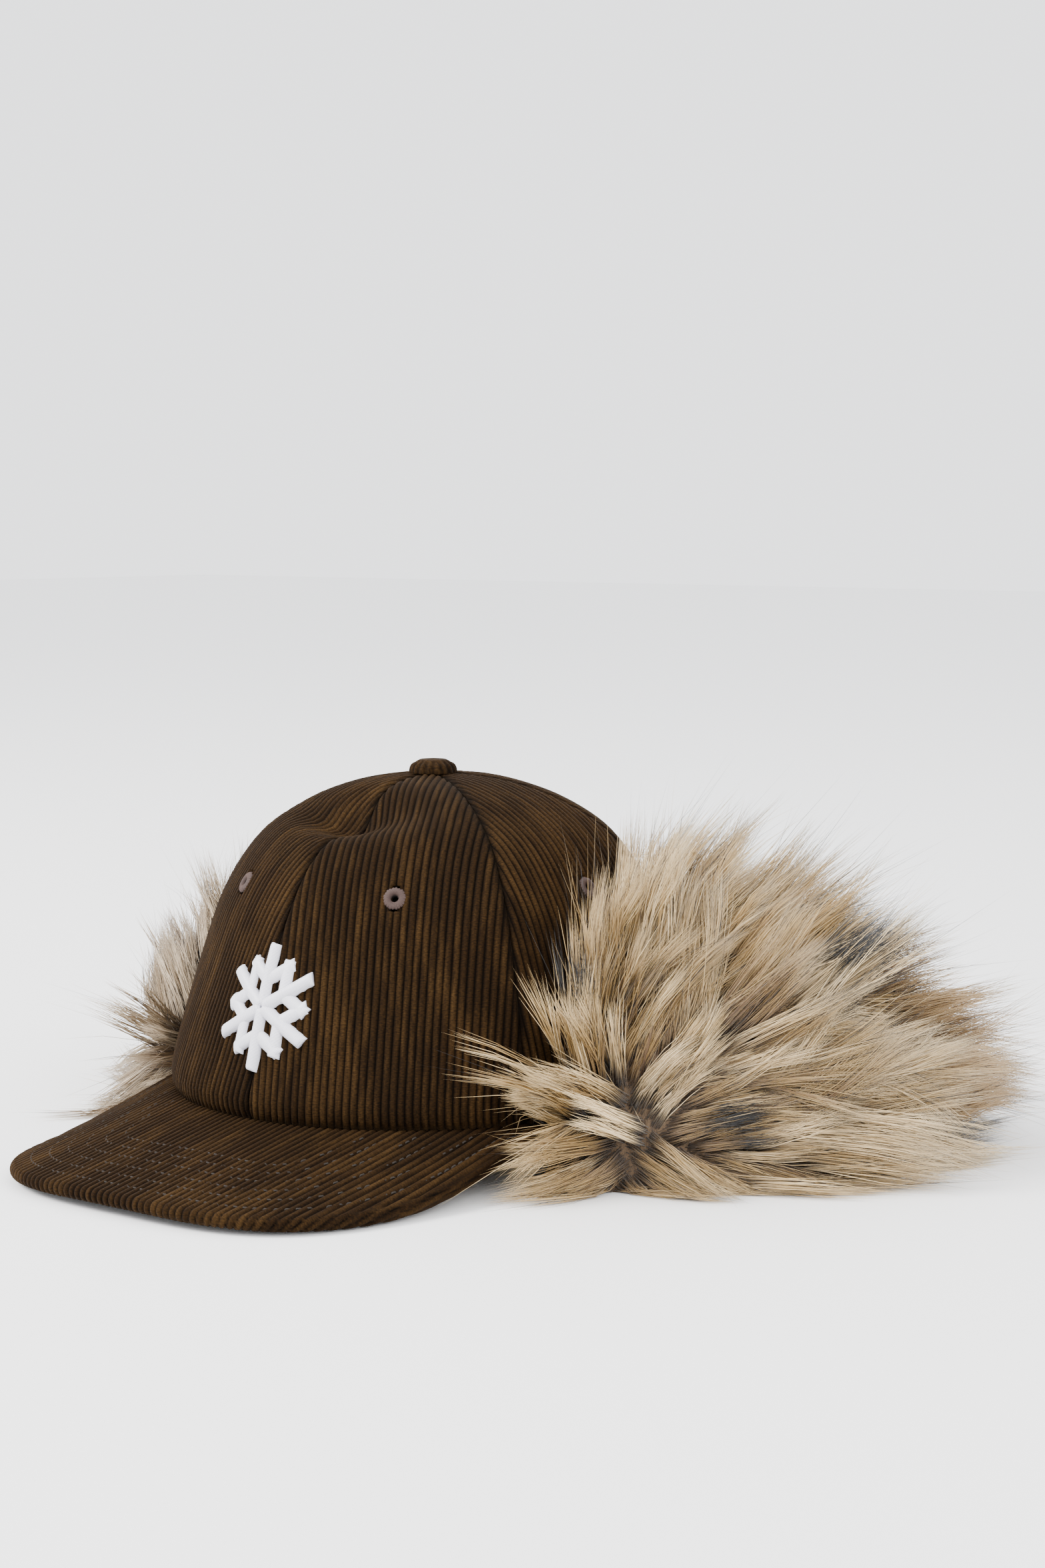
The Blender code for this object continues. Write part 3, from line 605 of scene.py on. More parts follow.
def panel_piece(name, index):
    """One corduroy panel with its wales, seam valleys, wall and eyelet hole."""
    ups = np.linspace(0, TOP_UP, PANEL_ROWS + 1)
    fine = np.linspace(0, 1 - 1e-6, 61)
    edge = crown_point((index + fine)[None, :] / PANELS + 0 * ups[:, None], ups[:, None] + 0 * fine)
    widths = np.linalg.norm(np.diff(edge, axis=1), axis=2).sum(axis=1)
    half = widths / 2 + SEAM_LAP
    places, levels = wale_columns(half.max())
    across = np.clip(places[None, :], -half[:, None], half[:, None])
    from_seam = half[:, None] - np.abs(across)
    fade = np.clip(from_seam / SEAM_FADE, 0, 1)
    level = levels[None, :] * fade
    out = WALE_DEPTH * (level - 0.5) - SEAM_DEPTH * np.exp(-(from_seam / SEAM_WIDTH) ** 2)
    around = (index + 0.5 + across / widths[:, None]) / PANELS
    points = crown_point(around, ups[:, None] + 0 * across, out)
    piece, row, column = wrapped_grid(name + "_cloth", points)
    along = climb_lengths((index + 0.5) / PANELS, ups)[:, None] + 0 * across
    # painted shade: the stored wale height is lowered near each seam, so the seam's valley takes a darker
    # colour
    shade = level * (0.25 + 0.75 * np.clip(from_seam / SEAM_SHADE, 0, 1))
    store_cloth(piece.data, shade[row, column], across[row, column] + index * 0.2,
                along[row, column])
    centre = crown_point(np.array([(index + 0.5) / PANELS]), np.array([EYELET_UP]))[0]
    mesh = piece.data
    bpy.ops.object.mode_set(mode="EDIT")
    bpy.ops.mesh.select_mode(type="VERT")
    bpy.ops.mesh.select_all(action="DESELECT")
    bpy.ops.object.mode_set(mode="OBJECT")
    spots = points[row, column]
    near = np.linalg.norm(spots - centre, axis=1) < EYELET_CLEAR
    mesh.vertices.foreach_set("select", near)
    bpy.ops.object.mode_set(mode="EDIT")
    bpy.ops.mesh.delete(type="VERT")
    bpy.ops.object.mode_set(mode="OBJECT")
    merge_points(piece)
    apply_solidify(piece, PANEL_WALL)
    finish_piece(piece, PANEL_CLOTH, "corduroy", name)


for panel_index, panel_name in enumerate(PANEL_NAMES):
    panel_piece(panel_name, panel_index)

# %% [markdown]
# ## The peak
# The peak is a stiff board in corduroy. Its wales run from back to front and wrap over the front
# edge. A grid whose columns are the wales makes each face, and its border is drawn round the edge
# in small steps. At the sides the wales lie along the edge, so there their count goes on round it.

# %% Peak
PEAK_HALF_WIDTH, PEAK_LENGTH = 83 * MM, 64 * MM
PEAK_THICKNESS, PEAK_ARCH = 4.5 * MM, 2.7 * MM
PEAK_END_TURN, PEAK_SQUARENESS = math.radians(64), 3.4
PEAK_LAP = 2.5 * MM
PEAK_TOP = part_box("visor")[1].z
EDGE_ROUND = 2.2 * MM
PEAK_ROWS, EDGE_STEPS = 26, 12
PEAK_BACK = -RIM_HALF_LENGTH * math.cos(PEAK_END_TURN)
PEAK_FRONT = RIM_HALF_LENGTH + PEAK_LENGTH


def peak_edge_height(x, y):
    """Height of the underside along the peak's edge."""
    rise_from = -0.72 * PEAK_FRONT
    away = np.clip((y - rise_from) / (PEAK_BACK - rise_from), 0, 1)
    arch = PEAK_ARCH * np.maximum(0, 1 - (x / (0.9 * PEAK_HALF_WIDTH)) ** 2)
    return arch + (PEAK_TOP - PEAK_THICKNESS) * away**1.5


def peak_outline(share):
    """Edge of the peak in plan, for shares from -1 on the right to 1 on the left."""
    angle = share * math.pi / 2
    power = 2 / PEAK_SQUARENESS
    x = PEAK_HALF_WIDTH * np.sign(angle) * np.abs(np.sin(angle)) ** power
    y = PEAK_BACK - (PEAK_FRONT + PEAK_BACK) * np.maximum(np.cos(angle), 0) ** power
    return x, y


def peak_height_lookup():
    """Tree of the peak's smooth upper face, for reading its height at any place."""
    shares = np.linspace(-1, 1, 401)[:, None]
    slopes = np.linspace(-0.15, 1.06, 60)[None, :]
    turn = shares * PEAK_END_TURN
    rim = shell_point(turn, 0 * turn)
    rim_x, rim_y = rim[..., 0] - AXIS.x, rim[..., 1] - AXIS.y
    edge_x, edge_y = peak_outline(shares)
    low = peak_edge_height(edge_x, edge_y)
    x = rim_x + (edge_x - rim_x) * slopes
    y = rim_y + (edge_y - rim_y) * slopes
    z = PEAK_TOP + (low + PEAK_THICKNESS - PEAK_TOP) * np.clip(slopes, 0, 1)
    points = np.stack([x, y, z], -1).reshape(-1, 3)
    count = slopes.shape[1]
    faces = [
        (i * count + j, i * count + j + 1, (i + 1) * count + j + 1, (i + 1) * count + j)
        for i in range(len(shares) - 1) for j in range(count - 1)
    ]
    return BVHTree.FromPolygons([Vector(p) for p in points], faces)


def heights_on(tree, x, y):
    """Heights of a tree's face straight below places."""
    found = []
    for px, py in zip(np.ravel(x), np.ravel(y)):
        hit = tree.ray_cast(Vector((px, py, 0.2)), Vector((0, 0, -1)))[0]
        if hit is None:
            hit = tree.find_nearest(Vector((px, py, 0.5 * PEAK_TOP)))[0]
        found.append(hit.z)
    return np.array(found).reshape(np.shape(x))


def outward_of(path):
    """Directions square to a path in plan, to its right hand."""
    step = np.gradient(path, axis=0)
    return unit(np.stack([step[:, 1], -step[:, 0]], -1))


def peak_piece():
    """Closed peak with wales on both faces and round the edge."""
    tree = peak_height_lookup()
    inset_width = PEAK_HALF_WIDTH - EDGE_ROUND
    places, levels = wale_columns(inset_width)
    keep = np.abs(places) < inset_width - 0.25 * MM
    places = np.concatenate([[-inset_width], places[keep], [inset_width]])
    levels = wale_level(places)
    rim_width = 0.985 * RIM_HALF_WIDTH - PEAK_LAP
    rim_length = 0.985 * RIM_HALF_LENGTH - PEAK_LAP
    inner = -rim_length * np.sqrt(np.maximum(0, 1 - (places / rim_width) ** 2))
    inner = np.minimum(inner, PEAK_BACK)
    reach = PEAK_FRONT + PEAK_BACK - EDGE_ROUND
    ratio = np.minimum(np.abs(places / inset_width), 0.9999)
    outer = PEAK_BACK - reach * (1 - ratio**PEAK_SQUARENESS) ** (1 / PEAK_SQUARENESS)
    shares = np.linspace(0, 1, PEAK_ROWS + 1)[:, None]
    x = places[None, :] + 0 * shares
    y = inner[None, :] + (outer - inner)[None, :] * shares
    face_level = levels[None, :] + 0 * shares
    top_z = heights_on(tree, x, y)
    relief = WALE_DEPTH * (face_level - 0.5)
    top = np.stack([x, y, top_z + relief], -1)
    low = np.stack([x, y, top_z - PEAK_THICKNESS - relief], -1)
    columns = len(places)
    last = PEAK_ROWS
    border = [(row, 0) for row in range(last)]
    border += [(last, column) for column in range(columns)]
    border += [(row, columns - 1) for row in range(last - 1, -1, -1)]
    border_row = np.array([b[0] for b in border])
    border_column = np.array([b[1] for b in border])
    plan = np.stack([x, y], -1)[border_row, border_column]
    outward = -outward_of(plan)
    outward[np.einsum("ij,ij->i", outward, plan - (0, PEAK_BACK)) < 0] *= -1
    middle = top_z[border_row, border_column] - PEAK_THICKNESS / 2
    angles = np.linspace(0, math.pi, EDGE_STEPS + 1)[1:-1]
    rings, ring_levels, ring_across, ring_along = [], [], [], []
    for angle in angles:
        run = EDGE_ROUND * angle
        across = plan[:, 0] + outward[:, 0] * run
        level = wale_level(across)
        bulge = EDGE_ROUND * math.sin(angle) + WALE_DEPTH * (level - 0.5) * math.sin(angle)
        height = middle + (PEAK_THICKNESS / 2 + WALE_DEPTH * (level - 0.5)) * math.cos(angle)
        spot = plan + outward * bulge[:, None]
        rings.append(np.column_stack([spot, height]))
        ring_levels.append(level)
        ring_across.append(across)
        ring_along.append(plan[:, 1] - np.abs(outward[:, 1]) * run)
    points = np.concatenate([top.reshape(-1, 3), low.reshape(-1, 3)] + rings)
    size = (last + 1) * columns
    faces = []
    for row in range(last):
        for column in range(columns - 1):
            a = row * columns + column
            b, c, d = a + 1, a + columns + 1, a + columns
            faces.append((a, d, c, b))
            faces.append((size + a, size + b, size + c, size + d))
    top_border = border_row * columns + border_column
    chain = [top_border]
    for k in range(len(rings)):
        chain.append(2 * size + k * len(border) + np.arange(len(border)))
    chain.append(size + top_border)
    for upper, lower in zip(chain, chain[1:]):
        for i in range(len(border) - 1):
            faces.append((upper[i], lower[i], lower[i + 1], upper[i + 1]))
    ends = [[ring[0] for ring in chain], [ring[-1] for ring in chain]]
    inner_top = np.arange(columns)
    for column in range(columns - 1):
        a, b = inner_top[column], inner_top[column + 1]
        faces.append((a, b, size + b, size + a))
    faces.append(tuple(int(i) for i in ends[0]))
    faces.append(tuple(int(i) for i in ends[1][::-1]))
    mesh = bpy.data.meshes.new("peak_cloth")
    placed = points + (AXIS.x, AXIS.y, 0)
    mesh.from_pydata(placed.tolist(), [], [tuple(int(i) for i in f) for f in faces])
    piece = bpy.data.objects.new("peak_cloth", mesh)
    bpy.context.scene.collection.objects.link(piece)
    level = np.concatenate([face_level.ravel(), face_level.ravel()] + ring_levels)
    across = np.concatenate([x.ravel(), x.ravel() + 0.5] + ring_across)
    along = np.concatenate([y.ravel(), y.ravel()] + ring_along)
    store_cloth(mesh, level, across, along)
    face_outwards(piece)
    finish_piece(piece, PEAK_CLOTH, "corduroy", "visor")


peak_piece()

# %% [markdown]
# ## The covered button
# The button is a small dome covered in the same corduroy. The cloth is gathered under it, so its
# wales show as soft ribs down its side.

# %% Button
BUTTON_RADIUS = (BUTTON_HIGH.x - BUTTON_LOW.x) / 2
BUTTON_RISE = 4.6 * MM
BUTTON_RIBS = 18


def button_piece():
    """Squashed ball with ribs down its side, on a short stem."""
    bpy.ops.object.select_all(action="DESELECT")
    bpy.ops.mesh.primitive_uv_sphere_add(segments=144, ring_count=40, radius=1.0)
    piece = bpy.context.object
    piece.name = "button_cover"
    mesh = piece.data
    ball = np.empty(3 * len(mesh.vertices), np.float32)
    mesh.vertices.foreach_get("co", ball)
    ball = ball.reshape(-1, 3).astype(float)
    angle = np.arctan2(ball[:, 1], ball[:, 0])
    spread = np.hypot(ball[:, 0], ball[:, 1])
    rib = 0.5 + 0.5 * np.cos(BUTTON_RIBS * angle)
    side = ease((spread - 0.35) / 0.5)
    radius = BUTTON_RADIUS * np.sign(spread) * spread**0.72 * (1 - 0.055 * side * (1 - rib))
    base = BUTTON_HIGH.z - BUTTON_RISE
    top = np.maximum(ball[:, 2], 0) ** 0.9 * BUTTON_RISE
    under = np.minimum(ball[:, 2], 0) * 1.6 * MM
    crown = 0.12 * MM * np.cos(4.6 * math.pi * spread)
    height = base + top + under - 0.35 * MM * side * (1 - rib) * (ball[:, 2] > 0) + crown
    height = np.minimum(height, BUTTON_HIGH.z + 0.2 * MM)
    points = np.column_stack([
        AXIS.x + radius * np.cos(angle), AXIS.y + radius * np.sin(angle), height
    ])
    mesh.vertices.foreach_set("co", points.astype(np.float32).ravel())
    mesh.update()
    while mesh.uv_layers:
        mesh.uv_layers.remove(mesh.uv_layers[0])
    # painted shade: the dips between the gathered ribs are stored low on the wale, so they take the dark
    # groove colour
    store_cloth(mesh, 0.35 + 0.65 * np.maximum(rib, 1 - side), radius * angle, spread * BUTTON_RADIUS)
    finish_piece(piece, PANEL_CLOTH, "corduroy", "button")


button_piece()

# %% [markdown]
# ## Stitched eyelets
# An eyelet is a small air hole whose edge is whipped with thread, so it reads as a ring of short
# radial stitches. Each ring is turned from a small profile, and its radius is rippled once for
# each stitch.

# %% Eyelets
EYELET_STITCHES = 44


def thread_material(name, colour, shade, roughness=0.5, sheen=0.2):
    """Twisted thread: colour with fine light and dark fibres, and painted shade where a stitch's ridge is
    low.
    """
    material = bpy.data.materials.new(name)
    material.use_nodes = True
    tree = material.node_tree
    shader = tree.nodes["Principled BSDF"]
    place = add_node(tree, "ShaderNodeTexCoord").outputs["Object"]
    fibres = noise(tree, stretched(tree, place, (1, 1, 1)), 2600, 3.0, 0.6)
    ridge = add_node(tree, "ShaderNodeAttribute", attribute_name="ridge").outputs["Fac"]
    # painted shade: the dips between stitches lean to the shade colour
    level = maths(tree, "ADD", maths(tree, "MULTIPLY", fibres, 0.5), maths(tree, "MULTIPLY", ridge, 0.6))
    body = ramp(tree, level, [(0.25, shade), (0.75, colour)])
    tree.links.new(body, shader.inputs["Base Color"])
    bump = add_node(tree, "ShaderNodeBump")
    bump.inputs["Strength"].default_value = 0.4
    bump.inputs["Distance"].default_value = 0.0002
    tree.links.new(fibres, bump.inputs["Height"])
    tree.links.new(bump.outputs["Normal"], shader.inputs["Normal"])
    shader.inputs["Roughness"].default_value = roughness
    shader.inputs["Sheen Weight"].default_value = sheen
    return material


EYELET_THREAD = thread_material("eyelet_stitching", (0.060, 0.032, 0.025), (0.014, 0.008, 0.007), 0.8, 0.0)


def set_ridge(mesh, values):
    """Keep how high on a stitch each point lies; the thread's colour paints shade where it is low."""
    attribute = mesh.attributes.new("ridge", "FLOAT", "POINT")
    attribute.data.foreach_set("value", np.asarray(values, np.float32).ravel())


def eyelet_piece(name, index):
    """Whipped ring round the hole in one panel."""
    around = np.array([(index + 0.5) / PANELS])
    up = np.array([EYELET_UP])
    step = 0.004
    centre = crown_point(around, up)[0]
    along = unit(crown_point(around + step, up) - crown_point(around - step, up))[0]
    climb = crown_point(around, up + step) - crown_point(around, up - step)
    facing = unit(np.cross(along[None], climb))[0]
    upward = np.cross(facing, along)
    # radius and height of the ring's section, from inside the hole over the ring to its rim
    section = np.array([
        (1.30, -2.2), (1.28, -0.6), (1.36, 0.35), (1.75, 0.85), (2.35, 1.02), (3.00, 0.92),
        (3.55, 0.62), (3.90, 0.10), (3.75, -0.35), (1.90, -0.45), (1.90, -2.2),
    ]) * MM
    count = EYELET_STITCHES * 4
    angles = np.linspace(0, 2 * math.pi, count, endpoint=False)
    ridge = 0.5 + 0.5 * np.cos(EYELET_STITCHES * angles)
    wobble = 1 + 0.035 * np.sin(EYELET_STITCHES * 0.5 * angles) + 0.02 * np.sin(9 * angles)
    points, ridges = [], []
    for k, (radius, height) in enumerate(section):
        raised = 1.0 if 2 <= k <= 7 else 0.0
        reach = radius * (1 + (wobble - 1) * (k >= 6))
        lift = height - 0.16 * MM * raised * (1 - ridge)
        points.append(
            centre
            + np.outer(reach * np.cos(angles), along)
            + np.outer(reach * np.sin(angles), upward)
            + np.outer(lift + 0 * angles, facing)
        )
        ridges.append(ridge * raised)
    points = np.concatenate(points)
    faces = []
    size = len(section)
    for k in range(size):
        following = (k + 1) % size
        for i in range(count):
            j = (i + 1) % count
            faces.append((k * count + i, k * count + j, following * count + j, following * count + i))
    mesh = bpy.data.meshes.new(name + "_ring")
    mesh.from_pydata(points.tolist(), [], faces)
    piece = bpy.data.objects.new(name + "_ring", mesh)
    bpy.context.scene.collection.objects.link(piece)
    set_ridge(mesh, np.concatenate(ridges))
    face_outwards(piece)
    finish_piece(piece, EYELET_THREAD, "eyelet_thread", name)


for panel_index, panel_name in enumerate(PANEL_NAMES):
    eyelet_piece("eyelet" + panel_name[5:], panel_index)

# %% [markdown]
# ## The embroidered flake
# The flake on the front is satin stitch over padding. Each bar is a low rounded pillow, crossed by
# threads that lie side by side, so its top is a row of fine ridges. The bars are laid out flat
# first and then wrapped on the crown over the front seam. The arms' bars lie over the branches.

# %% Flake
EMBLEM_RADIUS, EMBLEM_BAR, EMBLEM_CENTRE = 21.5 * MM, 4.6 * MM, 38 * MM
EMBLEM_PUFF, BRANCH_PUFF = 2.1 * MM, 1.6 * MM
BRANCH_FROM, BRANCH_LENGTH = 9.2 * MM, 11.7 * MM
THREAD_PITCH, THREAD_RELIEF = 0.46 * MM, 0.16 * MM
BAR_ACROSS = np.array([-1.0, -0.97, -0.82, -0.5, 0.0, 0.5, 0.82, 0.97, 1.0])
BAR_HEIGHT = np.array([-0.10, 0.22, 0.62, 0.90, 1.0, 0.90, 0.62, 0.22, -0.10])
FLAKE_THREAD = thread_material("white_satin_stitch", (0.80, 0.80, 0.84), (0.50, 0.49, 0.58), 0.38, 0.1)
RIM_LENGTH = float(np.linalg.norm(
    np.diff(shell_point(TURNS, np.full(TURNS.shape, 0.1))[:, :2], axis=0), axis=1).sum())
FRONT_UPS = np.linspace(0, 1, 201)
FRONT_CLIMB = np.concatenate([[0.0], np.cumsum(np.linalg.norm(
    np.diff(shell_point(np.zeros(201), FRONT_UPS), axis=0), axis=1))])


def on_front(flat, out):
    """Flat points, in metres from the flake's centre, wrapped on the crown over the front seam."""
    up = np.interp(EMBLEM_CENTRE + flat[..., 1], FRONT_CLIMB, FRONT_UPS)
    return crown_point(flat[..., 0] / RIM_LENGTH, up, out)


def satin_bar(start, end, puff):
    """Points, faces and thread ridges of one padded bar of satin stitch."""
    way = (end - start) / np.linalg.norm(end - start)
    side = np.array([-way[1], way[0]])
    length = np.linalg.norm(end - start)
    rows = int(length / (THREAD_PITCH / 2)) // 2 * 2
    run = np.linspace(0, length, rows + 1)
    ridge = np.arange(rows + 1) % 2
    to_end = np.minimum(run, length - run) / (1.5 * MM)
    swell = np.sqrt(np.clip(1 - (1 - np.clip(to_end, 0, 1)) ** 2, 0.0, 1))
    slant = 0.35 * MM * BAR_ACROSS
    flat = (
        start + way * (run[:, None] + slant[None, :])[..., None]
        + side * (0.5 * EMBLEM_BAR * BAR_ACROSS)[None, :, None]
    )
    height = puff * BAR_HEIGHT[None, :] * (0.25 + 0.75 * swell[:, None])
    height = height - THREAD_RELIEF * (1 - ridge[:, None]) * (BAR_HEIGHT > 0)
    base = WALE_DEPTH / 2
    top = on_front(flat, base + height)
    low = on_front(flat, np.full(height.shape, -0.3 * MM))
    columns = len(BAR_ACROSS)
    size = (rows + 1) * columns
    faces = []
    for row in range(rows):
        for column in range(columns - 1):
            a = row * columns + column
            faces.append((a, a + 1, a + columns + 1, a + columns))
            faces.append((size + a, size + a + columns, size + a + columns + 1, size + a + 1))
        for a in (row * columns, row * columns + columns - 1):
            faces.append((a, a + columns, size + a + columns, size + a))
    for row in (0, rows):
        for column in range(columns - 1):
            a = row * columns + column
            faces.append((a, a + 1, size + a + 1, size + a))
    points = np.concatenate([top.reshape(-1, 3), low.reshape(-1, 3)])
    ridges = np.repeat(ridge, columns).astype(float)
    return points, faces, np.concatenate([ridges, ridges])


def flake_piece():
    """Six arms of satin stitch, each with a pair of branches."""
    bars = []
    for k in range(6):
        angle = math.pi / 2 + k * math.pi / 3
        arm = np.array([math.cos(angle), math.sin(angle)])
        for turn in (-math.pi / 3, math.pi / 3):
            branch = np.array([math.cos(angle + turn), math.sin(angle + turn)])
            fork = arm * BRANCH_FROM
            bars.append((fork, fork + branch * BRANCH_LENGTH, BRANCH_PUFF))
        bars.append((arm * 0.5 * MM, arm * EMBLEM_RADIUS, EMBLEM_PUFF))
    points, faces, ridges = [], [], []
    for start, end, puff in bars:
        bar_points, bar_faces, bar_ridges = satin_bar(start, end, puff)
        before = sum(len(p) for p in points)
        points.append(bar_points)
        ridges.append(bar_ridges)
        faces += [tuple(i + before for i in face) for face in bar_faces]
    mesh = bpy.data.meshes.new("flake_stitching")
    mesh.from_pydata(np.concatenate(points).tolist(), [], faces)
    piece = bpy.data.objects.new("flake_stitching", mesh)
    bpy.context.scene.collection.objects.link(piece)
    set_ridge(mesh, np.concatenate(ridges))
    face_outwards(piece)
    finish_piece(piece, FLAKE_THREAD, "emblem_thread", "emblem")


flake_piece()

# %% [markdown]
# ## Stitch rows on the peak
# Rows of brown thread hold the peak's cloth to its board. They run beside its outer edge, a few
# millimetres apart. Each stitch is a short sunk thread, thicker in the middle.

# %% Stitch rows
STITCH_LENGTH, STITCH_STEP, STITCH_WIDTH = 2.5 * MM, 3.3 * MM, 0.75 * MM
ROW_INSETS = tuple((7.0 + 6.2 * k) * MM for k in range(6))
STITCH_THREAD = thread_material("brown_stitching", (0.012, 0.0068, 0.0030), (0.003, 0.0017, 0.0008), 0.9, 0.0)


def inset_path(inset):
    """Line beside the peak's edge, a distance in from it, in plan."""
    x, y = peak_outline(np.linspace(-1, 1, 2401))
    path = np.stack([x, y], -1)
    step = np.gradient(path, axis=0)
    normal = unit(np.stack([-step[:, 1], step[:, 0]], -1))
    inward = np.where(normal @ np.array([0.0, 1.0]) < 0, -1, 1)[:, None]
    inner = path + normal * inward * inset
    rim = (inner[:, 0] / RIM_HALF_WIDTH) ** 2 + (inner[:, 1] / RIM_HALF_LENGTH) ** 2
    far = np.min(np.linalg.norm(inner[:, None, :] - path[None, ::12], axis=2), axis=1)
    good = (rim > 1.03) & (far > 0.985 * inset) & (inner[:, 1] < PEAK_BACK)
    return inner[good]


def stitch_piece():
    """All the stitches of all rows as one piece of small closed threads."""
    tree = peak_height_lookup()
    points, faces = [], []
    section = ((0.5, 0.0), (0.0, 0.45), (-0.5, 0.0), (0.0, -0.6))
    for inset in ROW_INSETS:
        path = inset_path(inset)
        run = np.concatenate([[0.0], np.cumsum(np.linalg.norm(np.diff(path, axis=0), axis=1))])
        starts = np.arange(0.5 * MM, run[-1] - STITCH_LENGTH, STITCH_STEP)
        for start in starts:
            marks = start + STITCH_LENGTH * np.array([0.0, 0.25, 0.75, 1.0])
            x, y = np.interp(marks, run, path[:, 0]), np.interp(marks, run, path[:, 1])
            z = heights_on(tree, x, y) - 0.05 * MM
            z = z + np.array([-0.30, 0.12, 0.12, -0.30]) * MM
            way = np.array([x[-1] - x[0], y[-1] - y[0]]) / STITCH_LENGTH
            across = np.array([-way[1], way[0]])
            first = len(points)
            for k, thickness in enumerate((0.55, 1.0, 1.0, 0.55)):
                for sideways, lift in section:
                    shift = across * sideways * STITCH_WIDTH * thickness
                    points.append((
                        x[k] + shift[0] + AXIS.x, y[k] + shift[1] + AXIS.y,
                        z[k] + lift * STITCH_WIDTH * thickness,
                    ))
            for k in range(3):
                for i in range(4):
                    a, b = first + 4 * k + i, first + 4 * k + (i + 1) % 4
                    faces.append((a, b, b + 4, a + 4))
            faces.append((first + 3, first + 2, first + 1, first))
            faces.append((first + 12, first + 13, first + 14, first + 15))
    mesh = bpy.data.meshes.new("peak_stitching")
    mesh.from_pydata(points, [], faces)
    piece = bpy.data.objects.new("peak_stitching", mesh)
    bpy.context.scene.collection.objects.link(piece)
    set_ridge(mesh, np.full(len(points), 0.6))
    face_outwards(piece)
    finish_piece(piece, STITCH_THREAD, "corduroy")


stitch_piece()

# %% [markdown]
# ## Fur
# The flaps and the nape are deep faux fur. Under it lies a soft body, which fills the space of the
# CAD's pads; it is coloured dark as painted shade, seen in the gaps between the hairs. On it stand
# many thousand hairs. A hair is a thin three-sided blade that narrows to a point. Hairs grow in
# locks: all the hairs of a lock start apart and lean together towards its tip. The locks fan out
# from a whorl low on each flap, as the fur in the photograph does.

# %% Where the fur's body lies
FUR_REACH, FUR_RISE = 72 * MM, 80 * MM
FUR_LEDGE, FUR_GAP, FIT_GAP = 3.0 * MM, 0.5 * MM, 0.3 * MM
FUR_ROUNDNESS = 2.4
RIGHT_FLAP_SHARE = 0.75
FLAP_START, FLAP_END = 67.5, 125.0
# turn from the front, then reach and rise as shares
PAD_ROWS = np.array([
    (60, 0.22, 0.34),
    (70, 0.32, 0.42),
    (78, 0.52, 0.66),
    (86, 0.74, 0.90),
    (95, 0.92, 1.02),
    (108, 1.04, 0.90),
    (125, 1.00, 0.74),
    (140, 0.86, 0.64),
    (160, 0.76, 0.58),
    (180, 0.72, 0.56),
])


def side_share(turn):
    """Size of the fur at a turn in degrees: the right flap lies flatter than the left."""
    return 1 - (1 - RIGHT_FLAP_SHARE) * ease((turn - 180) / (180 - FLAP_END))


def pad_frame(turn):
    """Rim, outward direction, reach and rise of the fur's body at turns in degrees."""
    mirrored = np.minimum(turn, 360 - turn)
    size = side_share(turn)
    reach = FUR_REACH * size * table_curve(PAD_ROWS[:, 0], PAD_ROWS[:, 1], mirrored)
    rise = FUR_RISE * size * table_curve(PAD_ROWS[:, 0], PAD_ROWS[:, 2], mirrored)
    angle = np.radians(turn)
    rim = shell_point(angle, 0 * angle)
    outward = unit(np.stack([
        RIM_HALF_LENGTH * np.sin(angle), -RIM_HALF_WIDTH * np.cos(angle), 0 * angle
    ], -1))
    rise = np.maximum(rise, CROWN_LOW + 3 * FUR_LEDGE)
    up = table_curve(CROWN_ROWS[:, 0] * CROWN_HEIGHT + CROWN_LOW, UP_SHARES, rise)
    top = shell_point(angle, up) + shell_normal(angle, up) * FUR_GAP
    return rim, outward, np.maximum(reach, FUR_LEDGE), top, up


def pad_surface(turn, share):
    """Points on the outer face of the fur's body: share 0 at the crown, 1 at the floor."""
    rim, outward, reach, top, _ = pad_frame(turn)
    foot = rim + outward * reach[..., None]
    lean = np.einsum("...i,...i->...", foot - top, outward)
    angle = share * math.pi / 2
    power = 2 / FUR_ROUNDNESS
    out = lean * np.sin(angle) ** power
    height = top[..., 2] * np.maximum(np.cos(angle), 0) ** power
    place = top + outward * out[..., None]
    place[..., 2] = height
    return place


def pad_normal(turn, share):
    """Directions out of the fur's body."""
    d_turn, d_share = 0.5, 0.01
    along = pad_surface(turn + d_turn, share) - pad_surface(turn - d_turn, share)
    down = pad_surface(turn, np.minimum(share + d_share, 1)) - pad_surface(
        turn, np.maximum(share - d_share, 0)
    )
    normal = unit(np.cross(down, along))
    outward = pad_frame(turn)[1]
    flip = np.einsum("...i,...i->...", normal, outward + (0, 0, 0.3)) < 0
    normal[flip] *= -1
    return normal


print("fur body at the side reaches", pad_surface(np.array([90.0]), np.array([1.0]))[0])

# %% [markdown]
# A hair's colour runs from a brown root to a golden or cream tip. Each lock, each tuft in it and
# each hair has its own tone, and some tips are black, most of them behind. The mesh stores these
# values for every hair, and one shader group turns them into a colour.

# %% Fur materials


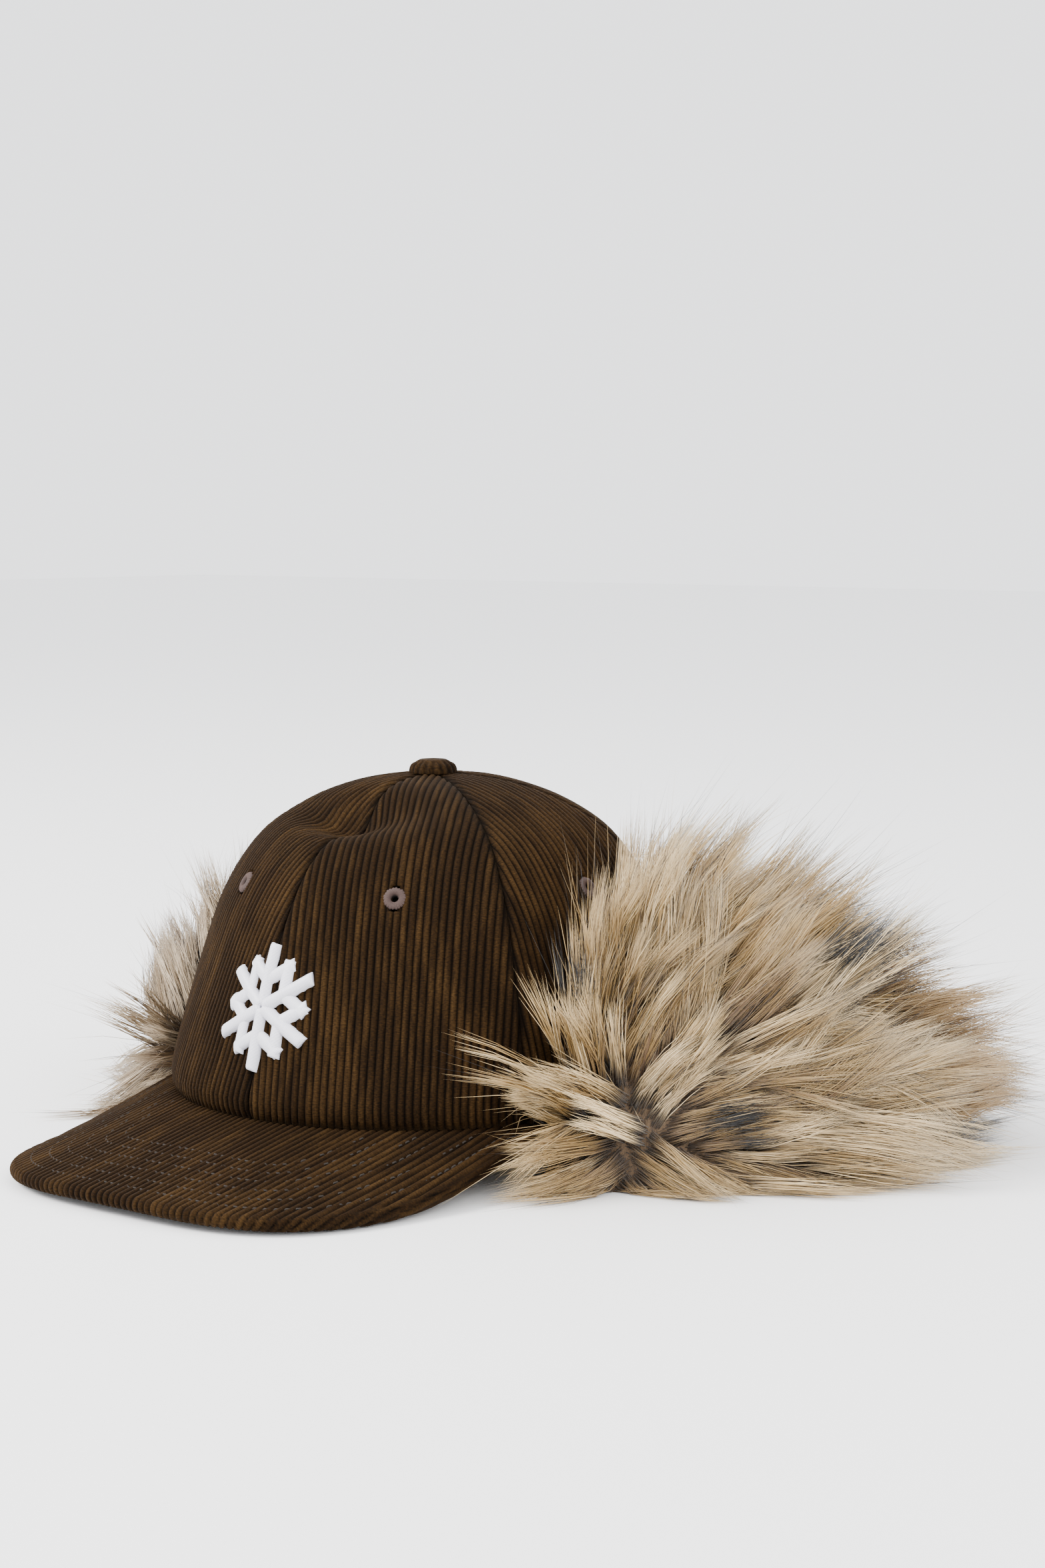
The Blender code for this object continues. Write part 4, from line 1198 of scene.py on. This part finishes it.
def make_hair_group():
    """Hair colour from the place along the hair, its tone and whether its tip is dark."""
    group, start, end = new_group(
        "hair_colour",
        [
            ("Along", "NodeSocketFloat", 0.5),
            ("Tone", "NodeSocketFloat", 0.5),
            ("Dark Tip", "NodeSocketFloat", 0.0),
            ("Root", "NodeSocketColor", (0.050, 0.030, 0.018, 1.0)),
            ("Brown", "NodeSocketColor", (0.13, 0.070, 0.028, 1.0)),
            ("Gold", "NodeSocketColor", (0.36, 0.225, 0.078, 1.0)),
            ("Cream", "NodeSocketColor", (0.80, 0.62, 0.36, 1.0)),
            ("Black", "NodeSocketColor", (0.006, 0.005, 0.0045, 1.0)),
        ],
        [("Color", "NodeSocketColor")],
    )
    along, tone = start.outputs["Along"], start.outputs["Tone"]
    warm = maths(group, "MULTIPLY", tone, 2.0, True)
    pale = maths(group, "MULTIPLY", maths(group, "SUBTRACT", tone, 0.5, True), 2.0, True)
    middle = mix_colour(group, "MIX", warm, start.outputs["Brown"], start.outputs["Gold"])
    middle = mix_colour(group, "MIX", pale, middle, start.outputs["Cream"])
    grown = maths(group, "MULTIPLY", along, 2.1, True)
    body = mix_colour(group, "MIX", maths(group, "POWER", grown, 1.3), start.outputs["Root"], middle)
    light_tip = maths(group, "MULTIPLY", maths(group, "SUBTRACT", along, 0.55, True), 0.9, True)
    body = mix_colour(group, "MIX", light_tip, body, start.outputs["Cream"])
    darkened = maths(group, "MULTIPLY", maths(group, "SUBTRACT", along, 0.34, True), 3.6, True)
    darkened = maths(group, "MULTIPLY", darkened, start.outputs["Dark Tip"], True)
    body = mix_colour(group, "MIX", darkened, body, start.outputs["Black"])
    group.links.new(body, end.inputs["Color"])
    return group


HAIR_GROUP = make_hair_group()


def fur_material(name, **colours):
    """Glossy hair, coloured by the shared group; named colours replace the group's own."""
    material = bpy.data.materials.new(name)
    material.use_nodes = True
    tree = material.node_tree
    shader = tree.nodes["Principled BSDF"]
    hair = add_node(tree, "ShaderNodeGroup")
    hair.node_tree = HAIR_GROUP
    for socket, label in (("Along", "along"), ("Tone", "tone"), ("Dark Tip", "dark_tip")):
        value = add_node(tree, "ShaderNodeAttribute", attribute_name=label).outputs["Fac"]
        tree.links.new(value, hair.inputs[socket])
    for socket, colour in colours.items():
        hair.inputs[socket].default_value = (*colour, 1.0)
    tree.links.new(hair.outputs["Color"], shader.inputs["Base Color"])
    shader.inputs["Roughness"].default_value = 0.40
    shader.inputs["Specular IOR Level"].default_value = 0.40
    shader.inputs["Sheen Weight"].default_value = 0.10
    shader.inputs["Sheen Roughness"].default_value = 0.4
    return material


def underfur_material(name, dark, light):
    """Matt, streaky short fur under the long hairs, coloured dark as painted shade between them."""
    material = bpy.data.materials.new(name)
    material.use_nodes = True
    tree = material.node_tree
    shader = tree.nodes["Principled BSDF"]
    place = add_node(tree, "ShaderNodeTexCoord").outputs["Object"]
    streaks = noise(tree, stretched(tree, place, (1, 1, 0.35)), 420, 4.0, 0.65)
    tree.links.new(ramp(tree, streaks, [(0.3, dark), (0.75, light)]), shader.inputs["Base Color"])
    bump = add_node(tree, "ShaderNodeBump")
    bump.inputs["Strength"].default_value = 0.8
    bump.inputs["Distance"].default_value = 0.002
    tree.links.new(streaks, bump.inputs["Height"])
    tree.links.new(bump.outputs["Normal"], shader.inputs["Normal"])
    shader.inputs["Roughness"].default_value = 0.9
    return material


LEFT_HAIR = fur_material("left_flap_hair")
NAPE_HAIR = fur_material("nape_hair", Gold=(0.27, 0.155, 0.055), Cream=(0.55, 0.39, 0.21))
RIGHT_HAIR = fur_material("right_flap_hair", Gold=(0.27, 0.19, 0.105), Cream=(0.60, 0.48, 0.34))
# painted shade: the body under the hairs is coloured dark like shadowed hair, so the gaps read as shade
UNDERFUR_SHADE = underfur_material("underfur_shade", (0.030, 0.018, 0.010), (0.13, 0.080, 0.040))

# %% The fur's body
BODY_STATIONS_PER_DEGREE = 0.45
BODY_STEPS = 14
BODY_END_GAP = 0.3


def fur_body(name, start, end, node):
    """Closed soft body of one fur piece: ledge under the rim, crown side and outer curve."""
    stations = int((end - start) * BODY_STATIONS_PER_DEGREE)
    turn = np.linspace(start + BODY_END_GAP, end - BODY_END_GAP, stations + 1)
    rim, outward, _, _, up = pad_frame(turn)
    inner = (rim - outward * FUR_LEDGE) * (1, 1, 0)
    corner = (rim + outward * FUR_GAP) * (1, 1, 0)
    ledge = (0, 0, CROWN_LOW - FIT_GAP)
    columns = [inner, inner + ledge, corner + ledge]
    angle = np.radians(turn)
    for share in (0.25, 0.5, 0.75):
        columns.append(shell_point(angle, up * share) + shell_normal(angle, up * share) * FUR_GAP)
    for step in range(BODY_STEPS + 1):
        columns.append(pad_surface(turn, np.full(turn.shape, step / BODY_STEPS)))
    columns[-1][:, 2] = 0.0
    points = np.stack(columns, 1)
    size = points.shape[1]
    faces = [tuple(range(size)), tuple(range(stations * size, (stations + 1) * size))[::-1]]
    for i in range(stations):
        for j in range(size):
            after = (j + 1) % size
            faces.append((i * size + j, i * size + after, (i + 1) * size + after, (i + 1) * size + j))
    mesh = bpy.data.meshes.new(name)
    mesh.from_pydata(points.reshape(-1, 3).tolist(), [], faces)
    piece = bpy.data.objects.new(name, mesh)
    bpy.context.scene.collection.objects.link(piece)
    face_outwards(piece)
    finish_piece(piece, UNDERFUR_SHADE, "fur_pile", node)


fur_body("left_flap_body", FLAP_START, FLAP_END, "ear_flap_fur_left")
fur_body("nape_body", FLAP_END, 360 - FLAP_END, "nape_fur")
fur_body("right_flap_body", 360 - FLAP_END, 360 - FLAP_START, "ear_flap_fur_right")

# %% [markdown]
# Hairs are gathered twice: some 24 of them lean together in a tuft, and about seven tufts lean
# together in a lock. A lock has its own direction, bend, length and tone, and the tufts and hairs
# in it differ from it a little. A few stray hairs go their own way. Hairs that would enter the
# crown, the peak or the floor are moved out of it.

# %% Locks and hairs
HAIR_LENGTH, HAIR_WIDTH = 52 * MM, 0.38 * MM
HAIR_STOPS = np.array([0.0, 0.30, 0.65, 1.0])
HAIRS_IN_TUFT, TUFTS_IN_LOCK = 24, 7
TUFT_PULL, LOCK_PULL = 0.86, 0.50
STRAY_SHARE, END_LENGTH = 0.08, 0.50
WHORL_TURN, WHORL_HEIGHT, NAPE_DEPTH = 74.0, 20 * MM, -25 * MM
BOX_SHARE, BOX_MORE = 0.025, 9 * MM
FLOOR_CLEAR, CROWN_CLEAR, PEAK_CLEAR = 0.4 * MM, 0.9 * MM, 1.5 * MM


def whorl_point(side):
    """Point from which a flap's hair fans out: side 1 is the left flap, -1 the right."""
    turn = np.array([WHORL_TURN if side > 0 else 360 - WHORL_TURN])
    spot = pad_surface(turn, np.array([1.0]))[0]
    spot[2] = WHORL_HEIGHT
    return spot


def dot(first, second):
    """Dot products of two arrays of vectors, kept as a column."""
    return np.einsum("...i,...i->...", first, second)[..., None]


def flow_directions(spots, normals, whorl, least_out):
    """Way the fur runs at each root, and the root's distance from the whorl."""
    away = spots - whorl
    distance = np.linalg.norm(away, axis=1)
    away = unit(away)
    away = away - 0.7 * normals * dot(away, normals)
    outward = unit((spots - (AXIS.x, AXIS.y, 0)) * (1 / RIM_HALF_WIDTH**2, 1 / RIM_HALF_LENGTH**2, 0))
    away = away + outward * np.maximum(least_out - dot(away, outward), 0)
    away[:, 2] = np.maximum(away[:, 2], -spots[:, 2] / (30 * MM))
    return unit(away), distance


def outside_crown(points):
    """Points moved straight out where they would lie inside the crown."""
    x = (points[..., 0] - AXIS.x) / RIM_HALF_WIDTH
    y = -(points[..., 1] - AXIS.y) / RIM_HALF_LENGTH
    turn = np.arctan2(x, y)
    climb = np.clip((points[..., 2] - CROWN_LOW) / CROWN_HEIGHT, 0, 1)
    front, side, back = (np.interp(climb, CROWN_ROWS[:, 0], CROWN_ROWS[:, k]) for k in (1, 2, 3))
    end = np.where(np.cos(turn) > 0, front, back)
    needed = end * np.cos(turn) ** 2 + side * np.sin(turn) ** 2 + CROWN_CLEAR / RIM_HALF_WIDTH
    factor = np.maximum(1, needed / np.maximum(np.hypot(x, y), 1e-6))
    factor = np.where(points[..., 2] > CROWN_LOW + CROWN_HEIGHT, 1, factor)
    centre = np.array([AXIS.x, AXIS.y, 0])
    return centre + (points - centre) * np.stack([factor, factor, np.ones(factor.shape)], -1)


def beside_peak(points):
    """Points kept past the side edges of the peak."""
    near = (points[..., 1] - AXIS.y < PEAK_BACK + 3 * MM) & (points[..., 2] < PEAK_TOP + 3 * MM)
    side = points[..., 0] - AXIS.x
    kept = np.sign(side) * np.maximum(np.abs(side), PEAK_HALF_WIDTH + PEAK_CLEAR)
    moved = points.copy()
    moved[..., 0] = np.where(near, AXIS.x + kept, points[..., 0])
    return moved


def inside_box(lines, chance):
    """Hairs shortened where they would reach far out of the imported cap's box."""
    low, high = (np.array(corner) for corner in CAD_BOX)
    most = BOX_SHARE * (high - low) + BOX_MORE
    spread = most * chance.uniform(0.55, 1.0, (len(lines), 1))
    root, reach = lines[:, :1], lines - lines[:, :1]
    room = np.where(reach > 0, (high + spread)[:, None] - root, root - (low - spread)[:, None])
    share = np.maximum(room, 0) / np.maximum(np.abs(reach), 1e-9)
    share = np.minimum(share.min(axis=(1, 2)), 1)
    return root + reach * share[:, None, None]


def area_roots(chance, count, start, end):
    """Roots spread evenly by area over the outer face of the fur's body."""
    turn = chance.uniform(start, end, 6 * count)
    share = chance.uniform(0.0, 1.0, 6 * count)
    step = 0.01
    along = np.linalg.norm(pad_surface(turn + 0.5, share) - pad_surface(turn - 0.5, share), axis=1)
    down = np.linalg.norm(
        pad_surface(turn, np.minimum(share + step, 1)) - pad_surface(turn, np.maximum(share - step, 0)),
        axis=1,
    )
    weight = along * down
    keep = chance.uniform(0, np.quantile(weight, 0.98), weight.shape) < weight
    return turn[keep][:count], share[keep][:count]


def end_roots(chance, count, turn_at_end, side):
    """Roots on a flap's front end, with the direction that the end faces."""
    turn = np.full(count, turn_at_end)
    share = chance.uniform(0.1, 1.0, count)
    rim, outward, _, _, _ = pad_frame(turn)
    spots = pad_surface(turn, share)
    depth = dot(spots - rim, outward)
    spots = spots - outward * depth * chance.uniform(0, 0.9, (count, 1))
    facing = unit(pad_surface(turn - side, share) - pad_surface(turn + side, share))
    return turn, share, spots, unit(facing + 0.5 * outward)


def fur_style(turn, share):
    """Mean tone, and the share of locks with dark tips: pale on the flap, darker behind."""
    mirrored = np.minimum(turn, 360 - turn)
    behind = ease((mirrored - 98) / 14)
    high = 1 - ease((share - 0.35) / 0.25)
    low = ease((share - 0.85) / 0.10)
    tone = 0.52 + 0.26 * ease((mirrored - 84) / 18) * (1 - high) - 0.20 * behind * high
    dark = 0.05 + 0.68 * behind * high + 0.60 * behind * low
    return tone, dark


def nearest_index(spots, centres):
    """Index of the centre nearest to each spot."""
    found = np.empty(len(spots), int)
    for first in range(0, len(spots), 2000):
        block = spots[first:first + 2000]
        distance = ((block[:, None, :] - centres[None]) ** 2).sum(axis=2)
        found[first:first + 2000] = distance.argmin(axis=1)
    return found


def blade_mesh(name, lines, widths, attributes):
    """One mesh of thin three-sided blades along lines of points, each closed at both ends."""
    count, rings = lines.shape[:2]
    tangent = unit(np.gradient(lines, axis=1))
    side = unit(np.cross(tangent, np.array([0.31, 0.17, 0.93])))
    other = np.cross(tangent, side)
    taper = np.array([0.75, 1.0, 0.62])
    corners = []
    for k in range(3):
        angle = 2 * math.pi * k / 3
        push = side * math.cos(angle) + other * math.sin(angle)
        corners.append(
            lines[:, :-1] + push[:, :-1] * (0.5 * widths[:, None] * taper[None])[..., None]
        )
    body = np.stack(corners, 2).reshape(count, -1, 3)
    points = np.concatenate([body, lines[:, -1:]], 1)
    per = points.shape[1]
    faces = [(2, 1, 0)]
    for r in range(rings - 2):
        for k in range(3):
            n = (k + 1) % 3
            faces.append((3 * r + k, 3 * r + n, 3 * r + 3 + n))
            faces.append((3 * r + k, 3 * r + 3 + n, 3 * r + 3 + k))
    last = 3 * (rings - 2)
    for k in range(3):
        faces.append((last + k, last + (k + 1) % 3, per - 1))
    every = (np.array(faces)[None] + (np.arange(count) * per)[:, None, None]).reshape(-1, 3)
    mesh = bpy.data.meshes.new(name)
    mesh.vertices.add(count * per)
    mesh.vertices.foreach_set("co", points.astype(np.float32).ravel())
    mesh.loops.add(every.size)
    mesh.loops.foreach_set("vertex_index", every.astype(np.int32).ravel())
    mesh.polygons.add(len(every))
    mesh.polygons.foreach_set("loop_start", np.arange(0, every.size, 3, dtype=np.int32))
    mesh.update(calc_edges=True)
    mesh.validate()
    values = {"along": np.tile(np.append(np.repeat(HAIR_STOPS[:-1], 3), 1.0), count)}
    for label, given in attributes.items():
        values[label] = np.repeat(given, per)
    for label, given in values.items():
        attribute = mesh.attributes.new(label, "FLOAT", "POINT")
        attribute.data.foreach_set("value", given.astype(np.float32))
    piece = bpy.data.objects.new(name, mesh)
    bpy.context.scene.collection.objects.link(piece)
    return piece


def fur_hairs(name, start, end, whorl, count, seed, material, length, least_out, front_side=0):
    """Hairs of one stretch of fur, gathered in tufts and locks."""
    chance = np.random.default_rng(seed)
    turn, share = area_roots(chance, count, start, end)
    spots, normals = pad_surface(turn, share), pad_normal(turn, share)
    grown = len(turn)
    if front_side:
        front = start + 0.4 if front_side > 0 else end - 0.4
        more = end_roots(chance, count // 8, front, front_side)
        turn, share = np.append(turn, more[0]), np.append(share, more[1])
        spots, normals = np.concatenate([spots, more[2]]), np.concatenate([normals, more[3]])
    count = len(turn)
    spots[:, 2] = np.maximum(spots[:, 2], FLOOR_CLEAR)
    # tufts and locks start at some of the hairs' own roots
    tuft = chance.choice(count, count // HAIRS_IN_TUFT, replace=False)
    lock = chance.choice(tuft, len(tuft) // TUFTS_IN_LOCK, replace=False)
    my_tuft = nearest_index(spots, spots[tuft])
    my_lock = nearest_index(spots[tuft], spots[lock])[my_tuft]
    flow, distance = flow_directions(spots[lock], normals[lock], whorl, least_out)
    lock_way = unit(flow + chance.normal(0, 0.17, flow.shape))
    way = unit(lock_way[my_lock] + chance.normal(0, 0.10, (len(tuft), 3))[my_tuft])
    way = unit(way + chance.normal(0, 0.045, way.shape))
    sideways = np.cross(normals[lock], lock_way) * chance.normal(0, 0.20, (len(lock), 1))
    bend = sideways[my_lock]
    rise = chance.normal(0.42, 0.11, len(lock))[my_lock] + chance.normal(0, 0.05, len(tuft))[my_tuft]
    rise = np.clip(rise, 0.15, 1.0)[:, None]
    near = 0.62 + 0.38 * ease(distance / (62 * MM))
    size = length * (near * chance.uniform(0.86, 1.12, len(lock)))[my_lock]
    size = size * chance.uniform(0.86, 1.10, len(tuft))[my_tuft] * chance.uniform(0.84, 1.08, count)
    stray = chance.random(count) < STRAY_SHARE
    size = size * np.where(stray, 1.22, 1.0)
    size[grown:] *= END_LENGTH
    size = size[:, None]
    # each hair's line, from root to tip
    from_tuft = spots - spots[tuft][my_tuft]
    from_lock = spots[tuft][my_tuft] - spots[lock][my_lock]
    from_tuft = from_tuft - 0.5 * way * dot(from_tuft, way)
    from_lock = from_lock - 0.8 * way * dot(from_lock, way)
    loose = np.where(stray, 0.15, 1.0)[:, None]
    wander = chance.normal(0, 1, (count, 3)) * np.where(stray, 6.0, 0.7)[:, None] * MM
    upright = unit(0.6 * normals[tuft][my_tuft] + 0.4 * normals)
    lines = np.empty((count, len(HAIR_STOPS), 3))
    for k, s in enumerate(HAIR_STOPS):
        line = spots + size * (way * s * (0.70 + 0.30 * s) + upright * rise * s * (1 - 0.45 * s))
        line = line + size * bend * s**2 + wander * s**2
        line = line - loose * (from_tuft * TUFT_PULL * s**1.1 + from_lock * LOCK_PULL * s**1.6)
        line[:, 2] -= 0.08 * size[:, 0] * s**2
        lines[:, k] = line
    lines = beside_peak(outside_crown(lines))
    lines[:, 0] = spots
    lines = inside_box(lines, chance)
    floor = FLOOR_CLEAR + 3.2 * MM * chance.random((count, 1)) * HAIR_STOPS[None]
    lines[..., 2] = np.maximum(lines[..., 2], floor)
    tone, dark = fur_style(turn[lock], share[lock])
    tone = (tone + chance.normal(0, 0.15, len(lock)))[my_lock]
    tone = tone + chance.normal(0, 0.13, len(tuft))[my_tuft] + chance.normal(0, 0.12, count)
    dark_lock = (chance.random(len(lock)) < dark)[my_lock]
    dark_hair = chance.random(count) < np.where(dark_lock, 0.85, np.where(stray, 0.6, 0.05))
    widths = HAIR_WIDTH * chance.uniform(0.7, 1.3, count) * np.where(stray, 0.55, 1.0)
    piece = blade_mesh(name, lines, widths, {"tone": np.clip(tone, 0, 1), "dark_tip": dark_hair * 1.0})
    finish_piece(piece, material, "fur_pile")


HAIR_SHARE = 1.0
LEFT_WHORL, RIGHT_WHORL = whorl_point(1), whorl_point(-1)
NAPE_CENTRE = np.array([AXIS.x, AXIS.y, NAPE_DEPTH])
MIDDLE = 93.0
# name, turns, whorl, hairs, material, length, least outward share and side of a front end
FUR_STRETCHES = (
    ("left_flap_fur_front", FLAP_START, MIDDLE, LEFT_WHORL, 10000, LEFT_HAIR, 0.90, 0.05, 1),
    ("left_flap_fur_back", MIDDLE - 1, FLAP_END, LEFT_WHORL, 10000, LEFT_HAIR, 1.0, 0.1, 0),
    ("nape_fur_left", FLAP_END - 12, 180, NAPE_CENTRE, 8000, NAPE_HAIR, 0.86, 0.1, 0),
    ("nape_fur_right", 179, 362 - FLAP_END, NAPE_CENTRE, 5600, NAPE_HAIR, 0.86, 0.1, 0),
    ("right_flap_fur", 360 - FLAP_END, 360 - FLAP_START, RIGHT_WHORL, 7600, RIGHT_HAIR, 0.95, 0.38, -1),
)
for number, stretch in enumerate(FUR_STRETCHES):
    piece_name, first_turn, last_turn, whorl, hair_count = stretch[:5]
    hair_material, share, least_out, front_side = stretch[5:]
    fur_hairs(piece_name, first_turn, last_turn, whorl, int(hair_count * HAIR_SHARE), 11 + number,
              hair_material, HAIR_LENGTH * share, least_out, front_side)
